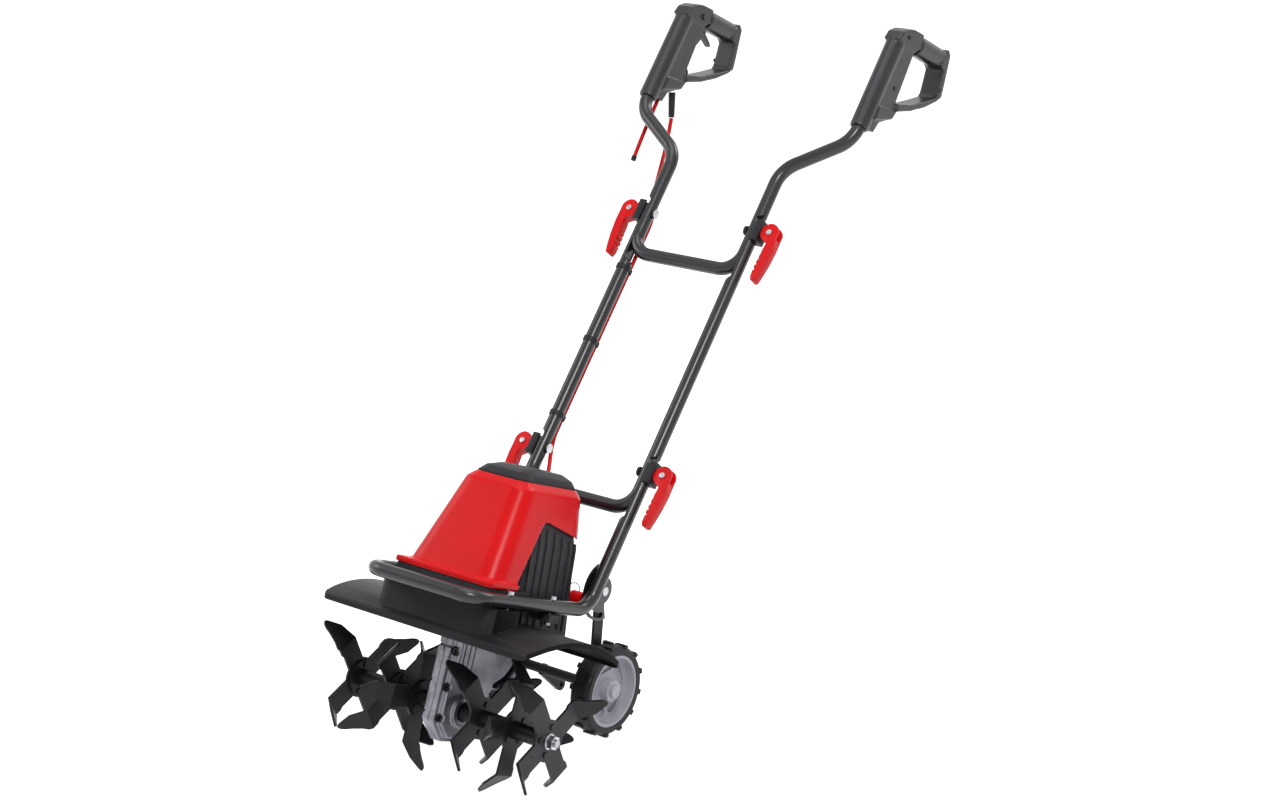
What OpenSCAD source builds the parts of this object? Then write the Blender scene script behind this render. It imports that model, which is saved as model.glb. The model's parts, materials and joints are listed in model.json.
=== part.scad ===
// Electric tiller with folding handle, transport wheels and worm-driven tine shaft

/* [Tines] */
// Distance from the tine shaft axis to the blade tips
tine_tip_r = 105; // [101:0.5:108]
// Distance from the tine shaft axis to the bend of each blade
tine_bend_r = 69; // [65:1:72]
// Angle by which each blade is bent sideways
tine_bend = 47; // [40:1:50]
// Width of a tine arm
tine_arm_w = 33; // [28:1:36]
// Thickness of the tine steel
tine_t = 4; // [3:0.5:4.5]
// Distance from the middle of the machine to the first star on each side
star_first_x = 61; // [60:0.5:64]
// Distance between neighbouring stars
star_pitch = 63; // [60:0.5:64]
// Distance from the middle of the machine to the middle star on the left
left_middle_star_x = 109; // [108:0.5:110]
// Diameter of the hub sleeves
hub_d = 27; // [24:0.5:30]
// Diameter of the hub flanges that the stars are riveted to
hub_flange_d = 56; // [54:1:62]
// Diameter of the circle of rivets
rivet_circle_d = 42; // [38:1:46]
// Diameter of a rivet shank
rivet_d = 6; // [5:0.5:7]

/* [Drive] */
// Diameter of the tine shaft
tine_shaft_d = 17; // [15:0.5:18]
// Gear module of worm and worm wheel
gear_module = 2; // [1.9:0.02:2.06]
// Number of teeth of the worm wheel
wheel_teeth = 36; // [35:1:37]
// Face width of the worm wheel
wheel_face_w = 14; // [10:1:15]
// Pitch diameter of the worm
worm_pitch_d = 20; // [19:0.25:21]
// Length of the worm
worm_l = 40; // [32:1:44]
// Diameter of the motor shaft
motor_shaft_d = 12; // [11:0.5:12.5]
// Diameter of the armature
armature_d = 50; // [44:1:54]
// Outer diameter of the stator
stator_d = 84; // [80:1:86]

/* [Gear case] */
// Half width of the raised body of the case
case_half_w = 19; // [18:0.5:20]
// Half width of the joint flange round the case
case_flange_half_w = 10; // [9:0.5:12]
// Distance from the shaft axis to the front and bottom faces
case_front = 50; // [48:1:54]
// Distance from the shaft axis to the rear face
case_rear = 72; // [71:1:76]
// Radius of the rear lobe
case_lobe_r = 64; // [60:1:66]
// Diameter of the bearing bosses
case_boss_d = 50; // [46:1:54]

/* [Deck] */
// Radius of the arched deck
deck_r = 284; // [280:1:290]
// Width of the deck at its middle
deck_w = 412; // [400:1:420]
// Thickness of the deck
deck_t = 3; // [2:0.5:4]
// Depth of the turned-down edge
deck_lip = 8; // [6:0.5:12]
// Half width of the raised nose under the bumper
nose_half_w = 114; // [110:1:116]

/* [Motor cover] */
// Half width of the cover at its foot
cover_foot_half_w = 90; // [87:1:91]
// Half width of the cover at its top seam
cover_top_half_w = 52; // [50:0.5:56]
// Height of the top seam over the shaft axis
cover_seam_z = 360; // [354:1:364]
// Height of the cap above the seam
cap_h = 18; // [16:1:22]
// Wall thickness of cover and cap
cover_wall = 3; // [2:0.25:3.5]
// Wall thickness of the motor housing
housing_wall = 3.5; // [2.5:0.25:4]

/* [Frame] */
// Outer diameter of the frame tubes
tube_d = 22; // [20:0.5:23]
// Wall thickness of the frame tubes
tube_wall = 1.5; // [1:0.1:2]
// Distance from the middle of the machine to the tube centres
rail_x = 105.4; // [104:0.2:107]
// Angle by which the working head leans back
lean_angle = 22.5; // [22:0.1:23]
// Height of the side rails over the shaft axis, square to the deck
rail_z = 185.5; // [185:0.5:187]
// Distance of the bumper in front of the shaft axis, along the rails
bumper_y = 145; // [140:1:148]
// Distance of the rear bend behind the shaft axis, along the rails
rear_bend_y = 136.7; // [136:0.1:138]
// Angle of the handle over the ground
handle_angle = 49.1; // [48:0.1:50]
// Distance from the rear bend to the lower clamp bolt
lower_clamp_s = 235.7; // [233:0.1:241]
// Distance from the rear bend to the upper clamp bolt
upper_clamp_s = 670.7; // [655:0.1:685]
// Distance of the lower cross bar below its clamp bolt
lower_bar_drop = 64.5; // [62:0.5:70]
// Distance of the upper cross bar below its clamp bolt
upper_bar_drop = 73.5; // [66:0.5:76]
// Distance from the rear bend to the first knee of the upper frame
knee_s = 786.2; // [781:0.1:805]
// Distance from the rear bend to the grips
grip_s = 881.7; // [880:0.1:895]
// Distance from the middle of the machine to the grip centres
grip_x = 210.8; // [209:0.2:214]

/* [Clamps] */
// Diameter of the clamp bolts
clamp_bolt_d = 8; // [6:0.5:9]
// Radius of the cam at a lever's head
cam_r = 16; // [14:0.5:17]
// Width of a lever
lever_w = 18; // [16:0.5:20]
// Length of a lever from its pin
lever_l = 85; // [78:1:88]
// Diameter of the lever pins
lever_pin_d = 6; // [5:0.25:7]
// Thickness of a saddle
saddle_t = 7; // [6:0.5:9]

/* [Wheels] */
// Radius of a tyre
tyre_r = 74.3; // [70:0.1:76]
// Width of a tyre
tyre_w = 35; // [32:0.5:38]
// Distance from the middle of the machine to a tyre's outer face
tyre_outer_x = 130; // [129:0.5:134]
// Radius of a rim
rim_r = 58; // [54:0.5:60]
// Distance of the wheel axle behind the tine shaft
wheel_y = 234.5; // [232:0.5:238]
// Distance of the carriage pivot behind the tine shaft
pivot_y = 253; // [250:0.5:254]
// Height of the carriage pivot over the tine shaft
pivot_z = 130; // [128:0.5:134]
// Diameter of the wheel axle
wheel_axle_d = 12; // [10:0.5:13]
// Swing of the carriage
carriage_swing = 75; // [60:1:78]

/* [Grips] */
// Outer diameter of a grip sleeve
sleeve_d = 31; // [29:0.5:34]
// Length of a grip sleeve
sleeve_l = 163; // [158:1:168]
// Diameter of the hand bar of a grip
hand_bar_d = 36; // [32:0.5:38]
// Half width of a grip's rear rail
grip_rail_half_w = 14; // [13:0.5:15]

/* [Leads] */
// Diameter of the leads
lead_d = 7; // [6:0.25:7.5]
// Length of the mains lead that hangs from the left grip
mains_lead_l = 132; // [120:1:140]
// Length of the strain relief under the left grip
relief_l = 43; // [36:1:46]

/* [Fits] */
// Gap between pieces that stand beside each other
gap = 0.3; // [0.2:0.05:0.4]
// Radial clearance of a running fit
run_fit = 0.05; // [0.02:0.01:0.09]
// Radial clearance of a fixed fit
seat_fit = 0.03; // [0.02:0.01:0.05]

/* [Hidden] */
$fn = 48;
hull_fn = 32;
far = 600;

// Places: the tine shaft axis is the middle of all dimensions above
tine_phase = 20.5;
axle_h = tine_tip_r * cos(tine_phase);
T = [0, cos(handle_angle), sin(handle_angle)];
N = [0, sin(handle_angle), -cos(handle_angle)];
function lean(p) = [
    p.x,
    p.y * cos(lean_angle) + p.z * sin(lean_angle),
    -p.y * sin(lean_angle) + p.z * cos(lean_angle)
];
bend_v = lean([0, rear_bend_y, rail_z]);
function on_handle(x, n, s) = [x, bend_v.y + s * T.y + n * N.y, bend_v.z + s * T.z + n * N.z];
// The rearmost corner of a grip, in grip coordinates: across and along the handle
band_top_n = 139.8;
band_top_t = 229.3;
rear_y = on_handle(0, band_top_n, grip_s + band_top_t).y;
origin_y = (rear_y - axle_h) / 2;

module upright() translate([0, -origin_y, axle_h]) children();
module leaned() upright() rotate([-lean_angle, 0, 0]) children();
module handle_at(s) upright() translate(on_handle(0, 0, s)) rotate([handle_angle - 90, 0, 0]) children();
module both_sides() {
    children();
    mirror([1, 0, 0]) children();
}
module on_side(side) {
    if (side < 0) mirror([1, 0, 0]) children();
    else children();
}
// A flat shape drawn in Y and Z, given its thickness along X from x0 to x1
module slab_x(x0, x1) translate([x0, 0, 0]) rotate([90, 0, 90]) linear_extrude(x1 - x0) children();
// A flat shape drawn in X and Z, given its thickness along Y about the middle
module slab_y(w) rotate([90, 0, 0]) linear_extrude(w, center = true) children();
module rod_x(x0, x1, r) translate([x0, 0, 0]) rotate([0, 90, 0]) cylinder(h = x1 - x0, r = r);
module ring_x(x0, x1, r_out, r_in) {
    difference() {
        rod_x(x0, x1, r_out);
        rod_x(x0 - 1, x1 + 1, r_in);
    }
}

// Tube laid from the origin up Z: straight lengths with a bend after each but the last. A bend is given as
// its radius, its angle and the direction it turns to, as an angle from X about the tube. Straight lengths
// reach a little way into the bends, which are thicker by a hair, so that both become one solid
bend_step = 0.1;
bend_insert = 1.5;
function unit(v) = v / norm(v);
module in_frame(p, x, y) {
    z = cross(x, y);
    multmatrix([[x.x, y.x, z.x, p.x], [x.y, y.y, z.y, p.y], [x.z, y.z, z.z, p.z]]) children();
}
module ring_2d(r_out, r_in) {
    difference() {
        circle(r_out);
        circle(r_in);
    }
}
module bend(bend_r, angle, r_out, r_in)
    translate([bend_r, 0, 0]) rotate([90, 0, 0]) mirror([1, 0, 0]) rotate_extrude(angle = angle)
        translate([bend_r, 0]) if (r_in > 0) ring_2d(r_out, r_in); else circle(r_out);
module tube_run(lengths, bends, r_out, r_in, i = 0) {
    into_last = i > 0 ? bend_insert : 0;
    into_next = i < len(bends) ? bend_insert : 0;
    translate([0, 0, -into_last]) linear_extrude(lengths[i] + into_last + into_next) ring_2d(r_out, r_in);
    if (i < len(bends)) translate([0, 0, lengths[i]]) rotate([0, 0, bends[i][2]]) {
        bend(bends[i][0], bends[i][1], r_out + bend_step, r_in - bend_step);
        translate([bends[i][0] * (1 - cos(bends[i][1])), 0, bends[i][0] * sin(bends[i][1])])
            rotate([0, bends[i][1], 0]) rotate([0, 0, -bends[i][2]])
                tube_run(lengths, bends, r_out, r_in, i + 1) children();
    }
    else translate([0, 0, lengths[i]]) children();
}

// Lead swept along its points as one many-sided tube
lead_sides = 10;
function route_dir(p, i) = unit(p[min(i + 1, len(p) - 1)] - p[max(i - 1, 0)]);
function route_ring(p, i, r) = let (
    d = route_dir(p, i),
    x = unit(cross([1, 0, 0], d)),
    y = cross(d, x)
) [for (k = [0 : lead_sides - 1]) p[i] + r * (x * cos(360 * k / lead_sides) + y * sin(360 * k / lead_sides))];
module swept_lead(p, r) {
    rings = len(p);
    points = [for (i = [0 : rings - 1]) each route_ring(p, i, r)];
    ends = [
        [for (k = [0 : lead_sides - 1]) k],
        [for (k = [lead_sides - 1 : -1 : 0]) (rings - 1) * lead_sides + k]
    ];
    sides = [for (i = [0 : rings - 2]) for (k = [0 : lead_sides - 1]) [
        i * lead_sides + k,
        (i + 1) * lead_sides + k,
        (i + 1) * lead_sides + (k + 1) % lead_sides,
        i * lead_sides + (k + 1) % lead_sides
    ]];
    polyhedron(points, concat(ends, sides));
}

// ---------------------------------------------------------------- Tines
case_wheel_half_w = wheel_face_w / 2 + 1.5;
case_boss_x = 26;
bearing_w = 9.7;
bearing_x = case_wheel_half_w + 0.5;
star_t2 = tine_t / 2;
blade_l = (tine_tip_r - tine_bend_r - star_t2 * sin(tine_bend)) / cos(tine_bend);
hub_flange_t = 3;
hub_flange_x = star_t2 + hub_flange_t;
arm_w2 = tine_arm_w / 2;
star_x = [star_first_x, star_first_x + star_pitch, star_first_x + 2 * star_pitch];
function star_at(side, i) = i == 1 && side < 0 ? left_middle_star_x : star_x[i];
thread_d = 12;

module tine_arm(bend) {
    slab_x(-star_t2, star_t2) polygon([
        [0, -arm_w2], [tine_bend_r, -arm_w2], [tine_bend_r, arm_w2 + 3],
        [tine_bend_r - 10, arm_w2 + 3], [tine_bend_r - 16, arm_w2], [0, arm_w2]
    ]);
    translate([0, tine_bend_r, -arm_w2]) cylinder(h = tine_arm_w + 3, r = star_t2);
    translate([0, tine_bend_r, 0]) rotate([0, 0, -bend * tine_bend]) slab_x(-star_t2, star_t2) polygon([
        [0, -arm_w2], [blade_l * 0.55, -arm_w2 + 1.5], [blade_l - 12, -9], [blade_l - 3, -4],
        [blade_l, 0], [blade_l - 3, 4], [blade_l - 9, 7], [blade_l * 0.6, arm_w2 - 7],
        [blade_l * 0.3, arm_w2 - 2], [6, arm_w2 + 3], [0, arm_w2 + 3]
    ]);
}
module rivet_places() {
    for (k = [0 : 3]) rotate([45 + 90 * k, 0, 0]) translate([0, rivet_circle_d / 2, 0]) children();
}
module star(x, phase, first_bend) color("#1e1e22") upright() translate([x, 0, 0]) rotate([phase, 0, 0]) difference() {
    union() {
        rod_x(-star_t2, star_t2, hub_flange_d / 2 + 4);
        for (k = [0 : 3]) rotate([90 * k, 0, 0]) tine_arm(k % 2 == 0 ? first_bend : -first_bend);
    }
    rod_x(-star_t2 - 1, star_t2 + 1, tine_shaft_d / 2 + seat_fit);
    rivet_places() rod_x(-star_t2 - 1, star_t2 + 1, rivet_d / 2 + seat_fit);
}
// Stars stand at two angles: the inner one on the left and the middle one on the right are an eighth turn on
function star_phase(side, i) = i == (side < 0 ? 0 : 1) ? tine_phase + 45 : tine_phase;
module hub_sleeves() color("#6e6e72") upright() for (side = [-1, 1]) for (i = [0 : 2]) on_side(side) {
    phase = star_phase(side, i);
    from_x = i == 0 ? case_boss_x + gap : star_at(side, i - 1) + star_t2;
    to_x = star_at(side, i);
    difference() {
        union() {
            rod_x(from_x, to_x - star_t2, hub_d / 2);
            rod_x(to_x - hub_flange_x, to_x - star_t2, hub_flange_d / 2);
        }
        rod_x(from_x - 1, to_x, tine_shaft_d / 2 + seat_fit);
        translate([to_x, 0, 0]) rotate([phase, 0, 0])
            rivet_places() rod_x(-hub_flange_x - 1, 0, rivet_d / 2 + seat_fit);
    }
}
module tine_rivets() color("#3a3a3e") upright() for (side = [-1, 1]) for (i = [0 : 2]) {
    phase = star_phase(side, i);
    head_t = 2;
    on_side(side) translate([star_at(side, i), 0, 0]) rotate([phase, 0, 0]) rivet_places() {
        rod_x(-hub_flange_x, star_t2, rivet_d / 2);
        rod_x(star_t2, star_t2 + head_t, rivet_d * 0.8);
        rod_x(-hub_flange_x - head_t, -hub_flange_x, rivet_d * 0.8);
    }
}
nut_t = 10;
washer_t = 2;
module shaft_nuts() color("silver") upright() both_sides() translate([star_x[2] + star_t2, 0, 0]) {
    ring_x(0, washer_t, 12, thread_d / 2 + seat_fit);
    difference() {
        translate([washer_t, 0, 0]) rotate([0, 90, 0]) cylinder(h = nut_t, r = 11, $fn = 6);
        rod_x(0, washer_t + nut_t + 1, thread_d / 2 + seat_fit);
    }
}
shaft_shoulder_d = tine_shaft_d + 5;
module tine_shaft() color("#8a8a8e") upright() {
    rod_x(-star_x[2], star_x[2], tine_shaft_d / 2);
    rod_x(-bearing_x + 0.1, bearing_x - 0.1, shaft_shoulder_d / 2);
    both_sides() rod_x(star_x[2], star_x[2] + star_t2 + washer_t + nut_t + 4, thread_d / 2);
}

// ---------------------------------------------------------------- Worm drive
wheel_pitch_r = gear_module * wheel_teeth / 2;
worm_y = wheel_pitch_r + worm_pitch_d / 2;
lead = PI * gear_module;
tooth_half = 0.19 * lead;
pressure = tan(20);
addendum = gear_module;
dedendum = 1.2 * gear_module;
tooth_root_half = tooth_half + dedendum * pressure;
tooth_tip_half = tooth_half - addendum * pressure;
wheel_root_r = wheel_pitch_r - dedendum;
wheel_tip_r = wheel_pitch_r + addendum;
function arc_deg(l, r) = 180 * l / (PI * r);
function polar(r, a) = [r * cos(a), r * sin(a)];

module worm_wheel() color("#b08d4a") leaned() slab_x(-wheel_face_w / 2, wheel_face_w / 2) difference() {
    polygon([for (k = [0 : wheel_teeth - 1]) each [
        polar(wheel_root_r, 360 * k / wheel_teeth - arc_deg(tooth_root_half, wheel_root_r)),
        polar(wheel_tip_r, 360 * k / wheel_teeth - arc_deg(tooth_tip_half, wheel_tip_r)),
        polar(wheel_tip_r, 360 * k / wheel_teeth + arc_deg(tooth_tip_half, wheel_tip_r)),
        polar(wheel_root_r, 360 * k / wheel_teeth + arc_deg(tooth_root_half, wheel_root_r))
    ]]);
    circle(shaft_shoulder_d / 2 + seat_fit);
}
worm_pitch_r = worm_pitch_d / 2;
worm_steps = 16;
worm_slices_per_turn = 10;
// Worm radius at a height above the middle of its thread, the height counted within one lead
function worm_r(h) = let (d = min(abs(h), lead - abs(h)))
    max(worm_pitch_r - dedendum, min(worm_pitch_r + addendum, worm_pitch_r + (tooth_half - d) / pressure));
module worm() color("#9a9aa0") leaned() translate([0, worm_y, -worm_l / 2]) difference() {
    // The gap between threads meets a wheel tooth at the middle of the worm
    rotate([0, 0, 90 - 360 * (worm_l / 2 / lead + 0.5)]) linear_extrude(
        worm_l, twist = -360 * worm_l / lead, slices = round(worm_slices_per_turn * worm_l / lead)
    ) polygon([for (k = [0 : worm_steps - 1]) polar(worm_r(lead * k / worm_steps), 180 - 360 * k / worm_steps)]);
    translate([0, 0, -1]) cylinder(h = worm_l + 2, r = motor_shaft_d / 2 + seat_fit);
}

// Bearings are rings with a deep groove and a row of balls left out, by inner and outer diameter
tine_bearing_d = 35;
motor_bearing_d = 28;
motor_bearing_w = 8;
lower_bearing_z = -worm_l / 2 - 4 - motor_bearing_w;
neck_bearing_z = 62;
top_bearing_z = 316;
module bearing(inner_d, outer_d, w) {
    race = (outer_d - inner_d) / 2 * 0.32;
    difference() {
        cylinder(h = w, d = outer_d);
        translate([0, 0, -1]) cylinder(h = w + 2, d = inner_d + 2 * run_fit);
        for (z = [-1, w - 1]) translate([0, 0, z]) difference() {
            cylinder(h = 2, d = outer_d - 2 * race);
            cylinder(h = 2, d = inner_d + 2 * race);
        }
    }
}
module ball_bearings() color("#c0c0c4") {
    upright() both_sides() translate([bearing_x, 0, 0]) rotate([0, 90, 0])
        bearing(tine_shaft_d, tine_bearing_d, bearing_w);
    leaned() for (z = [lower_bearing_z, neck_bearing_z, top_bearing_z]) translate([0, worm_y, z])
        bearing(motor_shaft_d, motor_bearing_d, motor_bearing_w);
}
seal_d = 30;
seal_w = 6;
module shaft_seals() color("#2a2a2a") upright() both_sides()
    ring_x(case_boss_x - seal_w, case_boss_x - 0.5, seal_d / 2, tine_shaft_d / 2 + run_fit);

// ---------------------------------------------------------------- Gear case
case_chamfer = 28;
case_rear_chamfer = 26;
case_body_inset = 8;
lobe_y = 50;
lobe_z = 100;
deck_mid_y = 2;
deck_mid_z = -132;
case_top_r = deck_r - deck_t - gap;
// Side view of the case, drawn in by an even amount
module case_outline(inset) {
    cut = inset * (sqrt(2) - 1);
    intersection() {
        union() {
            polygon([
                [-case_front + inset, -case_front + case_chamfer + cut],
                [-case_front + case_chamfer + cut, -case_front + inset],
                [case_rear - case_rear_chamfer - cut, -case_front + inset],
                [case_rear - inset, -case_front + case_rear_chamfer + cut],
                [case_rear - inset, lobe_z + case_lobe_r],
                [-case_front + inset, lobe_z + case_lobe_r]
            ]);
            translate([lobe_y, lobe_z]) circle(case_lobe_r - inset);
        }
        translate([deck_mid_y, deck_mid_z]) circle(case_top_r, $fn = 180);
        translate([-case_front, -case_front]) square([case_front + lobe_y + case_lobe_r, far]);
    }
}
case_screw_z = [-14, 34, 90];
case_rear_screws = [[case_rear - 6, -8], [case_rear - 6, 28], [102, 108]];
screw_places = concat([for (z = case_screw_z) [-42, z]], case_rear_screws);
screw_d = 5;
screw_head_d = 9;
screw_head_t = 4;
bell_half_w = 15;
bell_inset = 17;
bell_floor_z = 76;
slot_half_w = 3;
module vent_slot(r, a0, a1) {
    translate([lobe_y - 14, lobe_z + 22]) intersection() {
        difference() {
            circle(r + slot_half_w);
            circle(r - slot_half_w);
        }
        polygon([[0, 0], polar(2 * r, a0), polar(2 * r, (a0 + a1) / 2), polar(2 * r, a1)]);
    }
}
module gear_case_half() {
    difference() {
        union() {
            slab_x(0, case_flange_half_w) case_outline(0);
            slab_x(0, case_half_w) difference() {
                case_outline(case_body_inset);
                for (p = screw_places) translate(p) circle(screw_head_d / 2 + 2);
            }
            rod_x(0, case_boss_x, case_boss_d / 2);
            // Wider bands of the flange beside the screws
            for (z = case_screw_z) translate([0, -case_front - 1.5, z - 6]) cube([case_flange_half_w + 1.5, 4.5, 10]);
        }
        rod_x(-1, case_wheel_half_w, wheel_tip_r + 2.5);
        rod_x(-1, bearing_x + bearing_w, tine_bearing_d / 2 + seat_fit);
        rod_x(0, case_boss_x + 1, seal_d / 2 + seat_fit);
        translate([0, worm_y, lower_bearing_z]) cylinder(h = far, d = motor_bearing_d + 2 * seat_fit);
        intersection() {
            slab_x(-1, bell_half_w) case_outline(bell_inset);
            translate([-far / 2, -far / 2, bell_floor_z]) cube(far);
        }
        slab_x(bell_half_w - 2, case_half_w + 1) {
            vent_slot(34, -62, -22);
            vent_slot(22, -60, -6);
        }
        for (p = screw_places) translate([0, p.x, p.y]) rod_x(-1, case_half_w + 1, screw_d / 2 + seat_fit);
        // Shallow groove along the joint
        translate([-1, -case_front - 2, -far / 2]) cube([2, 3, far]);
    }
}
module gear_case_left() color("#7d787f") leaned() mirror([1, 0, 0]) gear_case_half();
module gear_case_right() color("#7d787f") leaned() gear_case_half();
module case_screws() color("#232326") leaned() for (p = screw_places) translate([0, p.x, p.y]) {
    rod_x(-case_flange_half_w, case_flange_half_w, screw_d / 2);
    difference() {
        rod_x(case_flange_half_w, case_flange_half_w + screw_head_t, screw_head_d / 2);
        translate([case_flange_half_w + 2, 0, 0]) rotate([0, 90, 0]) cylinder(h = 3, r = 2.2, $fn = 6);
    }
}
rim_guard_t = 4;
module case_guard_rim() color("#1c1c1f") leaned() slab_x(-case_half_w, case_half_w) intersection() {
    translate([lobe_y, lobe_z]) difference() {
        circle(case_lobe_r + rim_guard_t);
        circle(case_lobe_r + seat_fit);
    }
    translate([case_rear + 3, lobe_z - far]) square([far, far + 6]);
}

// ---------------------------------------------------------------- Deck
deck_front = 121;
deck_rear = 125;
deck_bow = 6;
deck_corner_r = 14;
nose_top = rail_z - tube_d / 2 - gap;
nose_front = 105;
nose_corner_r = 28;
nose_rear_y = -8;
// Plan view of the deck, drawn in by an even amount: rounded corners and slightly bowed sides
function deck_side_x(y) = deck_w / 2 - deck_bow * pow(2 * (y - (deck_rear - deck_front) / 2) / (deck_front + deck_rear), 2);
module deck_outline(inset) {
    r = deck_corner_r - inset;
    front = [for (a = [-90 : 15 : 0])
        [deck_side_x(-deck_front) - deck_corner_r + r * cos(a), -deck_front + deck_corner_r + r * sin(a)]];
    side = [for (y = [-90 : 30 : 90]) [deck_side_x(y) - inset, y]];
    rear = [for (a = [0 : 15 : 90])
        [deck_side_x(deck_rear) - deck_corner_r + r * cos(a), deck_rear - deck_corner_r + r * sin(a)]];
    right = concat(front, side, rear);
    polygon(concat(right, [for (i = [len(right) - 1 : -1 : 0]) [-right[i].x, right[i].y]]));
}
module nose_outline(inset) {
    r = nose_corner_r - inset;
    x2 = nose_half_w - inset;
    right = concat(
        [for (a = [-90 : 15 : 0])
            [nose_half_w - nose_corner_r + r * cos(a), -nose_front + nose_corner_r + r * sin(a)]],
        [[x2, -45], [x2 - 8, -30], [x2 - 24, nose_rear_y - inset]]
    );
    polygon(concat(right, [for (i = [len(right) - 1 : -1 : 0]) [-right[i].x, right[i].y]]));
}
module deck_arch(r) translate([0, deck_mid_y, deck_mid_z]) rod_x(-far, far, r, $fn = 180);
module arch_shell(t) {
    difference() {
        deck_arch(deck_r);
        deck_arch(deck_r - t);
    }
}
module rail_bolt_places() {
    both_sides() for (y = [nose_bolt_y, lug_bolt_y]) translate([rail_x, y, 0]) children();
}
nose_bolt_y = -63;
lug_bolt_y = 43;
rail_bolt_d = 6;
module deck() color("#2c2c2f") leaned() difference() {
    union() {
        intersection() {
            arch_shell(deck_t);
            linear_extrude(far) deck_outline(0);
        }
        intersection() {
            arch_shell(deck_lip);
            linear_extrude(far) difference() {
                deck_outline(0);
                deck_outline(deck_t);
            }
        }
        difference() {
            linear_extrude(nose_top) nose_outline(0);
            deck_arch(deck_r - deck_t);
        }
    }
    linear_extrude(nose_top - deck_t) nose_outline(deck_t);
    // Opening for the motor shaft and the cooling air
    translate([-bell_half_w, nose_rear_y, 0]) cube([2 * bell_half_w, 100, far]);
    rail_bolt_places() translate([0, 0, nose_top - 10]) cylinder(h = 20, r = rail_bolt_d / 2 + seat_fit);
}

// ---------------------------------------------------------------- Motor
// Box with rounded corners that tapers from level to level: height, half width, front, rear, corner radius
module tapered_box(levels) hull() for (level = levels) for (x = [-1, 1]) for (y = [level[2], level[3]])
    translate([x * (level[1] - level[4]), y + (y == level[2] ? level[4] : -level[4]), level[0]])
        cylinder(h = 0.1, r = level[4], $fn = hull_fn);
function drawn_in(level, wall) = [level[0], level[1] - wall, level[2] + wall, level[3] - wall, level[4] - wall];
function at_level(level, z) = [z, level[1], level[2], level[3], level[4]];
function between(a, b, z) = a + (b - a) * (z - a[0]) / (b[0] - a[0]);

housing_foot = [118, 86, -6, 137, 12];
housing_waist = [270, 73, -4, 131, 22];
housing_top = [335, 60, -2, 112, 22];
tray_half_w = 92;
tray_front = 92;
tray_top = 199.7;
tray_t = 3.5;
cover_foot = [tray_top + gap, cover_foot_half_w, 2 - tray_front, 136, 30];
cover_shoulder = [cover_seam_z - 12, cover_top_half_w + 12, -30, 130, 26];
cover_top = [cover_seam_z, cover_top_half_w, -18, 124, 20];
stator_floor_z = 190;
stator_floor_t = 5;
floor_level = between(housing_foot, housing_waist, stator_floor_z);
floor_half_w = floor_level[1] - housing_wall / 2;
lug_t = 12;
lug_half_w = 12;
boss_r = 18;
flange_h = 9.5;
flange_half_w = tray_half_w + 3;
flange_front = tray_front + 4;
flange_l = 68;
module motor_housing() color("#37383b") leaned() difference() {
    union() {
        difference() {
            tapered_box([housing_foot, housing_waist, housing_top]);
            tapered_box([
                drawn_in(at_level(housing_foot, housing_foot[0] - 1), housing_wall),
                drawn_in(housing_waist, housing_wall),
                drawn_in(at_level(housing_top, housing_top[0] - housing_wall), housing_wall)
            ]);
        }
        // Tray under the front of the cover
        difference() {
            translate([-tray_half_w, -tray_front, nose_top + gap])
                cube([2 * tray_half_w, tray_front + housing_foot[2] + 2, tray_top - nose_top - gap]);
            translate([-tray_half_w + tray_t, -tray_front + tray_t, nose_top + gap + tray_t])
                cube([2 * (tray_half_w - tray_t), tray_front + housing_foot[2] - tray_t + 1, far]);
        }
        // Floor that the stator stands on, from wall to wall between the rounded corners
        translate([-floor_half_w, floor_level[2] + floor_level[4], stator_floor_z]) cube([
            2 * floor_half_w, floor_level[3] - floor_level[2] - 2 * floor_level[4], stator_floor_t
        ]);
        // Seat of the top bearing
        translate([0, worm_y, top_bearing_z - 1]) cylinder(h = housing_top[0] - top_bearing_z, r = boss_r);
        both_sides() translate([60, lug_bolt_y - lug_half_w, nose_top - lug_t])
            cube([rail_x + tube_d / 2 - 60, 2 * lug_half_w, lug_t]);
    }
    deck_arch(deck_r + gap);
    translate([0, worm_y, stator_floor_z - 1]) cylinder(h = stator_floor_t + 2, r = armature_d / 2 + 4);
    translate([0, worm_y, stator_floor_z]) cylinder(
        h = top_bearing_z + motor_bearing_w + 1 - stator_floor_z, r = motor_bearing_d / 2 + seat_fit
    );
    rail_bolt_places() translate([0, 0, nose_top - lug_t - 1]) cylinder(h = lug_t + 2, r = rail_bolt_d / 2 + seat_fit);
}
module motor_cover() color("#d9141c") leaned() difference() {
    union() {
        tapered_box([cover_foot, cover_shoulder, cover_top]);
        translate([-flange_half_w, -flange_front, cover_foot[0]])
            cube([2 * flange_half_w, flange_l, flange_h]);
    }
    tapered_box([
        drawn_in(at_level(cover_foot, cover_foot[0] - 1), cover_wall),
        drawn_in(cover_shoulder, cover_wall),
        drawn_in(at_level(cover_top, cover_top[0] + 1), cover_wall)
    ]);
    // Arch at the sides and the back that shows the motor housing
    slab_x(-far / 2, far / 2) polygon([
        [-38, 190], [25, 299], [29, 304], [36, 305], [126, 285], [134, 300], [170, 300], [170, 190]
    ]);
    translate([lead_entry_x, far / 2, lead_entry_z]) rotate([90, 0, 0])
        cylinder(h = far / 2 - 80, r = lead_d / 2 + lead_hole_fit);
}
cap_foot = at_level(cover_top, cover_seam_z + gap);
cap_shoulder = [cover_seam_z + 0.6 * cap_h, cover_top_half_w - 6, -9, 120, 22];
cap_top = [cover_seam_z + cap_h, cover_top_half_w - 18, 12, 108, 22];
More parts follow.
